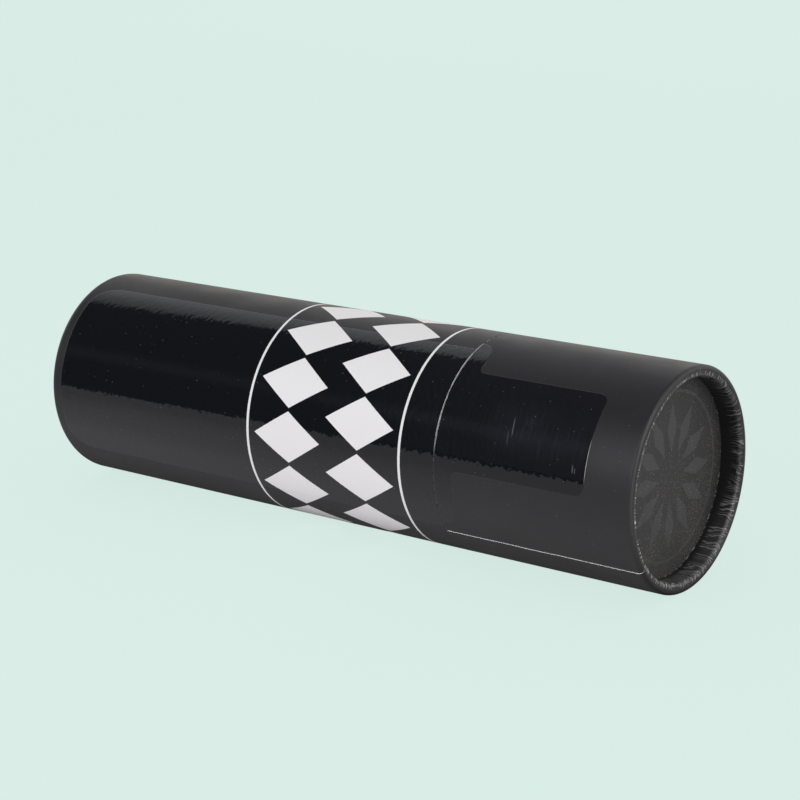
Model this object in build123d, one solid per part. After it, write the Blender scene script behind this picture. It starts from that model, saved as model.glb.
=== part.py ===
from build123d import *
from math import copysign, degrees
import os

# A round gift tube of rolled board, lying on its side: a body with a neck, and a lid that
# slides over the neck. The tube's axis runs along X, with its base at -X and its lid at +X.
# The origin is in the middle of its length, on the line where it rests. Sizes are in millimetres.

# Overall sizes
outer_radius = 42.0
total_length = 280.0
lid_length = 83.5
neck_reach = 40.0

# Board and paper
board_thickness = 1.8
neck_board_thickness = 1.5
disc_thickness = 2.0
wrap_thickness = 0.25
cover_thickness = 0.2
lining_thickness = 0.2

# Rolled ends, where the wall turns over and back down inside itself
recess_depth = 8.5
curl_slit = 0.3
base_outer_round_share = 0.72
base_inner_round_share = 0.16
lid_outer_round_share = 0.36
lid_inner_round_share = 0.5

# Where each wrap's outer layer starts over its other end, as angles from the top towards -Y
lap_width = 12.0
lap_margin = 0.3
body_lap_angle = 230.0
lid_lap_angle = 128.5

# The paper folded over the neck's mouth
turn_in = 14.0

# Clearances
seam_gap = 0.3
neck_clearance = 0.25
disc_clearance = 0.1

# How far a cutting shape passes the material that it cuts
cut_overrun = 1.0

# Angle from the section's plane, at +Y, to the top of the tube
quarter_turn = 90.0

# Radii that follow, from the outside inwards
board_radius = outer_radius - wrap_thickness
tube_bore_radius = board_radius - board_thickness
lip_outer_radius = tube_bore_radius - curl_slit
lip_inner_radius = lip_outer_radius - board_thickness
curl_inner_radius = lip_inner_radius - wrap_thickness
curl_width = outer_radius - curl_inner_radius
disc_cover_radius = tube_bore_radius - disc_clearance
disc_radius = disc_cover_radius - cover_thickness
lid_bore_radius = tube_bore_radius - lining_thickness
neck_cover_radius = lid_bore_radius - neck_clearance
neck_outer_radius = neck_cover_radius - cover_thickness
neck_inner_radius = neck_outer_radius - neck_board_thickness
cavity_radius = neck_inner_radius - lining_thickness

# Roundings of the rolled ends, over the paper
base_outer_round = curl_width * base_outer_round_share
base_inner_round = curl_width * base_inner_round_share
lid_outer_round = curl_width * lid_outer_round_share
lid_inner_round = curl_width * lid_inner_round_share

# Places along the axis
base_end = -total_length / 2
lid_end = total_length / 2
lid_mouth = lid_end - lid_length
body_mouth = lid_mouth - seam_gap
neck_mouth = body_mouth + neck_reach

# Depths of a disc's inner face, bare and lined, below the rim of its end
disc_back_depth = recess_depth + cover_thickness + disc_thickness
lined_depth = disc_back_depth + lining_thickness
cavity_floor = base_end + lined_depth


def inward(end, mouth, depth):
    """The place that lies a depth inside an end, on the way to the mouth."""
    return end + copysign(depth, mouth - end)


def beyond(end, mouth):
    """The place that lies an overrun past the mouth, seen from the end."""
    return mouth + copysign(cut_overrun, mouth - end)


def block(near, far, low, high):
    """A rectangle of the section, between two places along the axis and two radii."""
    centre = Pos((near + far) / 2, (low + high) / 2)
    return centre * Rectangle(abs(far - near), high - low)


def rolled_block(near, far, low, high, outer_round, inner_round):
    """A rectangle of the section whose near end is rounded at its outer and its inner corner."""
    section = block(near, far, low, high)
    section = fillet(section.vertices().sort_by_distance((near, high))[0], outer_round)
    return fillet(section.vertices().sort_by_distance((near, low))[0], inner_round)


def turned(section):
    """The section turned about the tube's axis and set down on the floor."""
    return Pos(0, 0, outer_radius) * revolve(section, Axis.X)


def sleeve(near, far, low, high):
    """A plain round sleeve between two places and two radii."""
    return turned(block(near, far, low, high))


def board_section(end, mouth, outer_round, inner_round):
    """The board wall, rolled over at its end and back down inside as a lip."""
    start = inward(end, mouth, wrap_thickness)
    wall = rolled_block(
        start,
        mouth,
        lip_inner_radius,
        board_radius,
        outer_round - wrap_thickness,
        inner_round - wrap_thickness,
    )
    lip_end = inward(end, mouth, recess_depth)
    past_mouth = beyond(end, mouth)
    hollow = block(lip_end, past_mouth, lip_inner_radius - cut_overrun, tube_bore_radius)
    slit_start = inward(start, mouth, board_thickness)
    slit = block(slit_start, beyond(end, lip_end), lip_outer_radius, tube_bore_radius)
    return wall - hollow - slit


def wrap_section(end, mouth, outer_round, inner_round):
    """The paper over the wall, drawn round the rolled end and down the lip."""
    outside = rolled_block(end, mouth, curl_inner_radius, outer_radius, outer_round, inner_round)
    past_mouth = beyond(end, mouth)
    core = rolled_block(
        inward(end, mouth, wrap_thickness),
        past_mouth,
        lip_inner_radius,
        board_radius,
        outer_round - wrap_thickness,
        inner_round - wrap_thickness,
    )
    lip_end = inward(end, mouth, recess_depth)
    hollow = block(lip_end, past_mouth, curl_inner_radius - cut_overrun, board_radius)
    return outside - core - hollow


def lap(end, mouth, outer_round, angle):
    """The wrap's outer layer over its other end, from the angle on and one thickness proud."""
    start = inward(end, mouth, outer_round + lap_margin)
    strip = block(start, mouth, outer_radius - wrap_thickness / 2, outer_radius + wrap_thickness)
    arc = degrees(lap_width / outer_radius)
    placed = Rot(X=quarter_turn + angle) * revolve(strip, Axis.X, arc)
    return Pos(0, 0, outer_radius) * placed


def disc(end, mouth):
    """The board disc that closes an end, behind its cover."""
    face = inward(end, mouth, recess_depth + cover_thickness)
    return sleeve(face, inward(end, mouth, disc_back_depth), 0, disc_radius)


def disc_cover(end, mouth):
    """The paper on a disc's outer face, turned down round the disc's edge."""
    face = inward(end, mouth, recess_depth)
    back = inward(end, mouth, disc_back_depth)
    sheet = block(face, back, 0, disc_cover_radius)
    inside = block(inward(face, mouth, cover_thickness), beyond(end, back), 0, disc_radius)
    return turned(sheet - inside)


def disc_lining(end, mouth):
    """The paper on a disc's inner face."""
    back = inward(end, mouth, disc_back_depth)
    return sleeve(back, inward(end, mouth, lined_depth), 0, disc_radius)


def body_tube():
    """The body's board wall."""
    return turned(board_section(base_end, body_mouth, base_outer_round, base_inner_round))


def body_wrap():
    """The printed paper round the body, with its lap at the back."""
    wrap = turned(wrap_section(base_end, body_mouth, base_outer_round, base_inner_round))
    return wrap + lap(base_end, body_mouth, base_outer_round, body_lap_angle)


def lid_tube():
    """The lid's board wall."""
    return turned(board_section(lid_end, lid_mouth, lid_outer_round, lid_inner_round))


def lid_wrap():
    """The printed paper round the lid, with its lap low on the front."""
    wrap = turned(wrap_section(lid_end, lid_mouth, lid_outer_round, lid_inner_round))
    return wrap + lap(lid_end, lid_mouth, lid_outer_round, lid_lap_angle)


def neck_tube():
    """The inner board tube, which stands on the lined base disc and reaches into the lid."""
    return sleeve(cavity_floor, neck_mouth - cover_thickness, neck_inner_radius, neck_outer_radius)


def neck_cover():
    """The paper outside the neck, folded over its mouth and down inside."""
    outside = block(cavity_floor, neck_mouth, cavity_radius, neck_cover_radius)
    foot = beyond(neck_mouth, cavity_floor)
    core = block(foot, neck_mouth - cover_thickness, neck_inner_radius, neck_outer_radius)
    below = block(foot, neck_mouth - turn_in, cavity_radius - cut_overrun, neck_outer_radius)
    return turned(outside - core - below)


def neck_lining():
    """The paper inside the neck, from the cavity's floor to the folded paper."""
    return sleeve(cavity_floor, neck_mouth - turn_in, cavity_radius, neck_inner_radius)


def lid_lining():
    """The paper inside the lid's wall, in which the neck slides."""
    return sleeve(lid_mouth, lid_end - lined_depth, lid_bore_radius, tube_bore_radius)


parts = {
    "body_tube": body_tube(),
    "body_wrap": body_wrap(),
    "neck_tube": neck_tube(),
    "neck_cover": neck_cover(),
    "neck_lining": neck_lining(),
    "base_disc": disc(base_end, body_mouth),
    "base_disc_cover": disc_cover(base_end, body_mouth),
    "base_lining": disc_lining(base_end, body_mouth),
    "lid_tube": lid_tube(),
    "lid_wrap": lid_wrap(),
    "lid_lining": lid_lining(),
    "lid_disc": disc(lid_end, lid_mouth),
    "lid_disc_cover": disc_cover(lid_end, lid_mouth),
    "lid_disc_lining": disc_lining(lid_end, lid_mouth),
}

os.makedirs("parts", exist_ok=True)
for name, shape in parts.items():
    export_step(shape, f"parts/{name}.step")
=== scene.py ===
"""Looks of a round gift tube of rolled board: a printed body with its neck, and the lid that slides over it.

The tube lies on its side with its axis along X, its base at -X and its lid at +X. All lengths are in metres.
Angles round the tube are measured from its top towards -Y, the side that faces the camera.
"""

import logging
import math
from dataclasses import dataclass
from enum import Enum
from typing import Callable, Iterable, Sequence, Union

import bpy
import numpy as np
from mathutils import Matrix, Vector, noise


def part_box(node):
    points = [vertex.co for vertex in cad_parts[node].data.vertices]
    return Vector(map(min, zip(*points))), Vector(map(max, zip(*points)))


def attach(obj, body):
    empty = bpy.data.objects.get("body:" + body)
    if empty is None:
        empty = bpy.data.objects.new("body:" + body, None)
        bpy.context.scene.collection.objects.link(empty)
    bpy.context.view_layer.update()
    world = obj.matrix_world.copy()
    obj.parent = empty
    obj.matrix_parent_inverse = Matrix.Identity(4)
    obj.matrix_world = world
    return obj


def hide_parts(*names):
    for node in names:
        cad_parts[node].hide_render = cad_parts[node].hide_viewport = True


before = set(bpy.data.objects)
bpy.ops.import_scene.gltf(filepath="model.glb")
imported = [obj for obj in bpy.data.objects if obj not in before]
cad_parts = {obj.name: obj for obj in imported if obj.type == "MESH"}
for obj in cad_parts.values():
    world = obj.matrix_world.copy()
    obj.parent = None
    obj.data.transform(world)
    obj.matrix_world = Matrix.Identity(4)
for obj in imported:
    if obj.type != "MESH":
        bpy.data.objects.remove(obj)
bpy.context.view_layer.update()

LOG = logging.getLogger("gift_tube")
MM = 0.001
FULL_TURN = 2.0 * math.pi
SHARP_DEG = 50.0
BODY_LAP_DEG = 230.0
LID_LAP_DEG = 128.5

Colour = tuple[float, float, float, float]
Point = tuple[float, float]


class Body(Enum):
    """The two moving bodies of the frame."""

    BODY = "body"
    LID = "lid"


class Slot(Enum):
    """The record's material slots, one for each kind of the scene's own pieces."""

    PRINT = "printed_wrap"
    DISC = "disc_paper"
    NECK = "neck_paper"
    LINING = "lining_paper"


class Trait(Enum):
    """Attributes that a mesh carries for its finish and for its pleats."""

    SHOWN = "shown_side"
    CREASE = "crease_wear_and_glint"
    WORN = "worn_edge"


def grey(level: float, warmth: float = 0.0) -> Colour:
    """A neutral colour, turned a little towards warm or, below zero, towards blue."""
    return (level * (1.0 + warmth), level, level * (1.0 - warmth), 1.0)


# Node sketching


class Term:
    """A value in a node tree, which is added, scaled and compared like a number."""

    def __init__(self, sketch: "Sketch", socket: bpy.types.NodeSocket) -> None:
        """Keeps the tree's sketch and the socket that gives the value."""
        self.sketch = sketch
        self.socket = socket

    def __add__(self, other: "Value") -> "Term":
        """The sum."""
        return self.sketch.maths("ADD", self, other)

    def __sub__(self, other: "Value") -> "Term":
        """The difference."""
        return self.sketch.maths("SUBTRACT", self, other)

    def __rsub__(self, other: float) -> "Term":
        """The difference from a number."""
        return self.sketch.maths("SUBTRACT", other, self)

    def __mul__(self, other: "Value") -> "Term":
        """The product."""
        return self.sketch.maths("MULTIPLY", self, other)

    def __truediv__(self, other: "Value") -> "Term":
        """The quotient."""
        return self.sketch.maths("DIVIDE", self, other)

    def size(self) -> "Term":
        """The value without its sign."""
        return self.sketch.maths("ABSOLUTE", self)

    def at_least(self, other: "Value") -> "Term":
        """The larger of two values."""
        return self.sketch.maths("MAXIMUM", self, other)

    def at_most(self, other: "Value") -> "Term":
        """The smaller of two values."""
        return self.sketch.maths("MINIMUM", self, other)

    def rise(self, low: "Value", high: "Value") -> "Term":
        """0 below low and 1 above high, with a rise between them, or a fall where high is below low."""
        return self.sketch.ranged(self, low, high, 0.0, 1.0)


Value = Union[Term, float]


class Sketch:
    """Writes the nodes of a shader or geometry tree as sums of terms."""

    def __init__(self, tree: bpy.types.NodeTree) -> None:
        """Keeps the tree that the nodes go into."""
        self.tree = tree

    def add(self, kind: str, **settings: object) -> bpy.types.Node:
        """Adds a node.

        Args:
            kind: Blender's name of the node's type.
            settings: properties of the node and their values.

        Returns:
            The new node.
        """
        node = self.tree.nodes.new(kind)
        for name, value in settings.items():
            setattr(node, name, value)
        return node

    def feed(self, socket: bpy.types.NodeSocket, value: object) -> None:
        """Gives an input socket a term or a constant.

        Args:
            socket: the input.
            value: the term or the constant.
        """
        if isinstance(value, Term):
            self.tree.links.new(value.socket, socket)
        else:
            socket.default_value = value

    def fill(self, node: bpy.types.Node, values: Iterable[object]) -> "Term":
        """Feeds a node's inputs in order.

        Args:
            node: the node.
            values: what its inputs get, or None for an input that stays as it is.

        Returns:
            The node's first output.
        """
        for socket, value in zip(node.inputs, values):
            if value is not None:
                self.feed(socket, value)
        return Term(self, node.outputs[0])

    def maths(self, operation: str, *values: Value) -> Term:
        """One step of arithmetic."""
        return self.fill(self.add("ShaderNodeMath", operation=operation), values)

    def ranged(self, value: Value, low: Value, high: Value, first: Value, last: Value) -> Term:
        """Carries a range smoothly onto another."""
        node = self.add("ShaderNodeMapRange", interpolation_type="SMOOTHSTEP")
        return self.fill(node, (value, low, high, first, last))

    def joined(self, x: Value, y: Value, z: Value = 0.0) -> Term:
        """A vector from three values."""
        return self.fill(self.add("ShaderNodeCombineXYZ"), (x, y, z))

    def split(self, vector: Term) -> tuple[Term, Term, Term]:
        """Takes a vector apart.

        Args:
            vector: the vector.

        Returns:
            Its values along X, Y and Z.
        """
        node = self.add("ShaderNodeSeparateXYZ")
        self.feed(node.inputs[0], vector)
        return tuple(Term(self, socket) for socket in node.outputs)

    def length(self, vector: Term) -> Term:
        """Measures a vector.

        Args:
            vector: the vector.

        Returns:
            Its length.
        """
        node = self.add("ShaderNodeVectorMath", operation="LENGTH")
        self.feed(node.inputs[0], vector)
        return Term(self, node.outputs["Value"])

    def stretched(self, vector: Term, scales: tuple[float, float, float]) -> Term:
        """A vector times a scale for each of its values."""
        node = self.add("ShaderNodeVectorMath", operation="MULTIPLY")
        return self.fill(node, (vector, scales))

    def clouds(self, vector: Term, scale: float, detail: float, roughness: float) -> Term:
        """Soft noise from 0 to 1.

        Args:
            vector: where it is read.
            scale: how many times a unit of the vector it varies.
            detail: how many finer layers it has.
            roughness: how strong the finer layers are.

        Returns:
            The noise.
        """
        node = self.add("ShaderNodeTexNoise")
        self.feed(node.inputs["Vector"], vector)
        node.inputs["Scale"].default_value = scale
        node.inputs["Detail"].default_value = detail
        node.inputs["Roughness"].default_value = roughness
        return Term(self, node.outputs[0])

    def specks(self, vector: Term, pitch: float, radius: float, kept_share: float) -> Term:
        """Round specks strewn over a flat pattern.

        Args:
            vector: the pattern's two coordinates, in metres.
            pitch: the mean distance between their places.
            radius: the largest radius of a speck.
            kept_share: the share of the places that holds one.

        Returns:
            1 in a speck and 0 outside it.
        """
        node = self.add("ShaderNodeTexVoronoi", voronoi_dimensions="2D")
        self.feed(node.inputs["Vector"], vector)
        node.inputs["Scale"].default_value = 1.0 / pitch
        chance, size, _ = self.split(Term(self, node.outputs["Color"]))
        reach = (size * 0.75 + 0.25) * (radius / pitch)
        inside = self.maths("LESS_THAN", Term(self, node.outputs["Distance"]), reach)
        return inside * self.maths("LESS_THAN", chance, kept_share)

    def blend(self, share: Value, first: object, second: object) -> Term:
        """Mixes two colours.

        Args:
            share: how much of the second colour there is, from 0 to 1.
            first: the first colour.
            second: the second colour.

        Returns:
            The mixed colour.
        """
        node = self.add("ShaderNodeMix", data_type="RGBA")
        self.feed(node.inputs[0], share)
        self.feed(node.inputs[6], first)
        self.feed(node.inputs[7], second)
        return Term(self, node.outputs[2])

    def between(self, share: Value, first: Value, second: Value) -> Term:
        """Mixes two numbers.

        Args:
            share: how much of the second number there is, from 0 to 1.
            first: the first number.
            second: the second number.

        Returns:
            The mixed number.
        """
        node = self.add("ShaderNodeMix", data_type="FLOAT")
        self.feed(node.inputs[0], share)
        self.feed(node.inputs[2], first)
        self.feed(node.inputs[3], second)
        return Term(self, node.outputs[0])

    def trait(self, trait: Trait) -> Term:
        """A float attribute of the mesh, for a shader."""
        node = self.add("ShaderNodeAttribute", attribute_name=trait.value)
        return Term(self, node.outputs["Fac"])

    def place(self) -> Term:
        """The object's own coordinates, which are the frame's."""
        node = self.add("ShaderNodeTexCoord")
        return Term(self, node.outputs["Object"])


# Sizes


@dataclass(frozen=True)
class TubeSizes:
    """Sizes of the tube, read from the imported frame, with the slit in a rolled end, which no box shows.

    The wrap, board and papers are given by the radii between them, from the outside inwards.
    """

    radius: float
    board_radius: float
    bore_radius: float
    neck_cover_radius: float
    neck_board_radius: float
    neck_lining_radius: float
    disc_paper_radius: float
    disc_radius: float
    lining_thickness: float
    base_end: float
    body_mouth: float
    lid_mouth: float
    lid_end: float
    neck_mouth: float
    neck_turn_in_end: float
    base_disc_face: float
    base_disc_back: float
    lid_disc_face: float
    lid_disc_back: float
    cavity_floor: float
    lid_ceiling: float
    curl_slit: float = 0.3 * MM

    @classmethod
    def from_frame(cls) -> "TubeSizes":
        """Reads the sizes from the boxes of the frame's nodes.

        Returns:
            The tube's sizes.
        """

        def radius_of(node: str) -> float:
            """Half of a node's height."""
            low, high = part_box(node)
            return (high.z - low.z) / 2.0

        body_low, body_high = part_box("body_wrap")
        lid_low, lid_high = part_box("lid_wrap")
        base_lining_low, base_lining_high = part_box("base_lining")
        base_cover_low, base_cover_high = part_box("base_disc_cover")
        lid_cover_low, lid_cover_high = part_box("lid_disc_cover")
        return cls(
            radius=radius_of("lid_wrap"),
            board_radius=radius_of("lid_tube"),
            bore_radius=radius_of("lid_lining"),
            neck_cover_radius=radius_of("neck_cover"),
            neck_board_radius=radius_of("neck_tube"),
            neck_lining_radius=radius_of("neck_lining"),
            disc_paper_radius=radius_of("lid_disc_cover"),
            disc_radius=radius_of("lid_disc"),
            lining_thickness=base_lining_high.x - base_lining_low.x,
            base_end=body_low.x,
            body_mouth=body_high.x,
            lid_mouth=lid_low.x,
            lid_end=lid_high.x,
            neck_mouth=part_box("neck_cover")[1].x,
            neck_turn_in_end=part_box("neck_lining")[1].x,
            base_disc_face=base_cover_low.x,
            base_disc_back=base_cover_high.x,
            lid_disc_face=lid_cover_high.x,
            lid_disc_back=lid_cover_low.x,
            cavity_floor=base_lining_high.x,
            lid_ceiling=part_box("lid_disc_lining")[0].x,
        )

    @property
    def wrap_thickness(self) -> float:
        """Thickness of the printed wrap."""
        return self.radius - self.board_radius

    @property
    def cover_thickness(self) -> float:
        """Thickness of the paper on the neck and on the discs."""
        return self.neck_cover_radius - self.neck_board_radius

    @property
    def curl_inner_radius(self) -> float:
        """Inner radius of the wrap inside a rolled end."""
        board_thickness = self.board_radius - self.bore_radius
        return self.bore_radius - self.curl_slit - board_thickness - self.wrap_thickness

    @property
    def curl_width(self) -> float:
        """Width of a rolled end, from the wrap outside to the wrap inside."""
        return self.radius - self.curl_inner_radius

    @property
    def neck_bore_radius(self) -> float:
        """Radius of the neck's cavity, inside its lining."""
        return self.neck_lining_radius - self.lining_thickness

    @property
    def axis_height(self) -> float:
        """Height of the tube's axis over the floor."""
        return self.radius


# Meshes


@dataclass(frozen=True)
class Station:
    """One ring of points round the tube's axis: a place along it, a radius, and whether the ring shows."""

    along: float
    radius: float
    shown: float = 1.0


def arc_stations(centre: Point, radius: float, first_deg: float, last_deg: float, steps: int) -> list[Point]:
    """Points of an arc, both ends included.

    Args:
        centre: the arc's centre, as depth and radius of the tube.
        radius: the arc's radius.
        first_deg: direction of the first point, from the depth axis towards larger radii.
        last_deg: direction of the last point.
        steps: how many parts the arc has.

    Returns:
        The points, as depth and radius of the tube.
    """
    angles = [math.radians(first_deg + (last_deg - first_deg) * i / steps) for i in range(steps + 1)]
    return [(centre[0] + radius * math.cos(a), centre[1] + radius * math.sin(a)) for a in angles]


def spread(first: float, last: float, shares: Sequence[float]) -> list[float]:
    """Places between two others, by their shares of the way."""
    return [first + (last - first) * share for share in shares]


class RingMesh:
    """A closed mesh of rings round the tube's axis, which may differ in their number of points."""

    def __init__(self, name: str, axis_height: float) -> None:
        """Starts an empty mesh.

        Args:
            name: the name of the mesh and of its object.
            axis_height: the height of its axis over the floor.
        """
        self.name = name
        self.axis_height = axis_height
        self.points: list[tuple[float, float, float]] = []
        self.faces: list[tuple[int, ...]] = []
        self.shown: list[float] = []
        self.wear_and_glint: dict[int, float] = {}
        self.rings: list[tuple[int, int]] = []

    def ring(self, station: Station, segments: int, shift: Callable[[float], float] | None = None) -> None:
        """Adds a ring and joins it to the one before.

        Args:
            station: where the ring lies.
            segments: how many points it has.
            shift: how far a point moves along the axis, for its angle from the top.
        """
        start = len(self.points)
        for index in range(segments):
            angle = FULL_TURN * index / segments
            along = station.along + (shift(angle) if shift else 0.0)
            y = -station.radius * math.sin(angle)
            z = self.axis_height + station.radius * math.cos(angle)
            self.points.append((along, y, z))
            self.shown.append(station.shown)
        if self.rings:
            self._join(self.rings[-1], (start, segments))
        self.rings.append((start, segments))

    def _join(self, near: tuple[int, int], far: tuple[int, int]) -> None:
        """Joins two rings, whose numbers of points are equal or a whole multiple of each other.

        Args:
            near: where the one ring's points start, and how many they are.
            far: the same of the other ring.
        """
        near_start, near_count = near
        far_start, far_count = far
        coarse = min(near_count, far_count)
        near_step = near_count // coarse
        far_step = far_count // coarse
        for index in range(coarse):
            near_run = [near_start + (index * near_step + k) % near_count for k in range(near_step + 1)]
            far_run = [far_start + (index * far_step + k) % far_count for k in range(far_step + 1)]
            self.faces.append(tuple(near_run + far_run[::-1]))

    def close(self) -> None:
        """Joins the last ring to the first."""
        self._join(self.rings[-1], self.rings[0])

    def cap_last(self, along: float) -> None:
        """Closes the last ring with a point on the axis."""
        self._cap(along, self.rings[-1], first=False)

    def cap_first(self, along: float) -> None:
        """Closes the first ring with a point on the axis."""
        self._cap(along, self.rings[0], first=True)

    def _cap(self, along: float, ring: tuple[int, int], first: bool) -> None:
        """Closes a ring with a point on the axis.

        Args:
            along: the point's place along the axis.
            ring: where the ring's points start, and how many they are.
            first: whether it is the first ring, whose faces turn the other way.
        """
        pole = len(self.points)
        self.points.append((along, 0.0, self.axis_height))
        self.shown.append(1.0)
        start, count = ring
        for k in range(count):
            edge = (start + k, start + (k + 1) % count)
            self.faces.append((edge[::-1] if first else edge) + (pole,))

    def loft(self, sections: Sequence[Sequence[tuple[float, float, float, float]]]) -> None:
        """Adds a closed bar of its own, through sections of equal counts.

        Args:
            sections: outlines of the bar, each point as a place along the axis, a radius, an angle from the
                top and a share of wear.
        """
        start = len(self.points)
        count = len(sections[0])
        for section in sections:
            for along, radius, angle, wear_and_glint in section:
                self.wear_and_glint[len(self.points)] = wear_and_glint
                self.points.append(
                    (along, -radius * math.sin(angle), self.axis_height + radius * math.cos(angle))
                )
                self.shown.append(0.0)
        faces = []
        for row in range(len(sections) - 1):
            near = start + row * count
            far = near + count
            for k in range(count):
                following = (k + 1) % count
                faces.append((near + k, near + following, far + following, far + k))
        faces.append(tuple(range(start + count - 1, start - 1, -1)))
        faces.append(tuple(range(start + (len(sections) - 1) * count, start + len(sections) * count)))
        ring_way = signed_volume(self.plain(self.faces)) < 0.0
        bar_way = signed_volume(self.plain(faces)) < 0.0
        self.faces += faces if ring_way == bar_way else [face[::-1] for face in faces]

    def plain(self, faces: Sequence[tuple[int, ...]]) -> bpy.types.Mesh:
        """Makes a mesh of the points with some of the faces.

        Args:
            faces: the faces, by the numbers of their points.

        Returns:
            The mesh.
        """
        mesh = bpy.data.meshes.new(self.name)
        mesh.from_pydata(self.points, [], faces)
        return mesh

    def finish(self) -> bpy.types.Object:
        """Makes the object, with its faces turned outwards, smooth but for its sharp edges.

        Returns:
            The object, in the scene.
        """
        mesh = self.plain(self.faces)
        if signed_volume(mesh) < 0.0:
            mesh.flip_normals()
        shown = mesh.attributes.new(Trait.SHOWN.value, "FLOAT", "POINT")
        shown.data.foreach_set("value", self.shown)
        wear_and_glint = mesh.attributes.new(Trait.WORN.value, "FLOAT", "POINT")
        wear_and_glint.data.foreach_set("value", [self.wear_and_glint.get(index, 0.0) for index in range(len(self.points))])
        mesh.shade_smooth()
        mesh.set_sharp_from_angle(angle=math.radians(SHARP_DEG))
        return linked(self.name, mesh)


def signed_volume(mesh: bpy.types.Mesh) -> float:
    """Measures what a closed mesh holds.

    Args:
        mesh: the mesh.

    Returns:
        Six times its volume, below zero where its faces point inwards.
    """
    mesh.calc_loop_triangles()
    corners = np.zeros(len(mesh.loop_triangles) * 3, np.int32)
    mesh.loop_triangles.foreach_get("vertices", corners)
    points = np.zeros(len(mesh.vertices) * 3, np.float32)
    mesh.vertices.foreach_get("co", points)
    a, b, c = points.reshape(-1, 3).astype(float)[corners].reshape(-1, 3, 3).transpose(1, 0, 2)
    return float(np.einsum("ij,ij->", a, np.cross(b, c)))


def linked(name: str, mesh: bpy.types.Mesh) -> bpy.types.Object:
    """Puts a mesh in the scene.

    Args:
        name: the object's name.
        mesh: the mesh.

    Returns:
        The object that holds it.
    """
    piece = bpy.data.objects.new(name, mesh)
    bpy.context.scene.collection.objects.link(piece)
    return piece


def settled(piece: bpy.types.Object) -> bpy.types.Object:
    """Turns what an object's modifiers make into its plain mesh, and removes them.

    Args:
        piece: the object.

    Returns:
        The same object.
    """
    graph = bpy.context.evaluated_depsgraph_get()
    made = bpy.data.meshes.new_from_object(
        piece.evaluated_get(graph), preserve_all_data_layers=True, depsgraph=graph
    )
    piece.modifiers.clear()
    old = piece.data
    piece.data = made
    made.name = piece.name
    bpy.data.meshes.remove(old)
    return piece


def triangles(piece: bpy.types.Object) -> int:
    """How many triangles an object's mesh has."""
    piece.data.calc_loop_triangles()
    return len(piece.data.loop_triangles)


# Geometry trees


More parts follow.
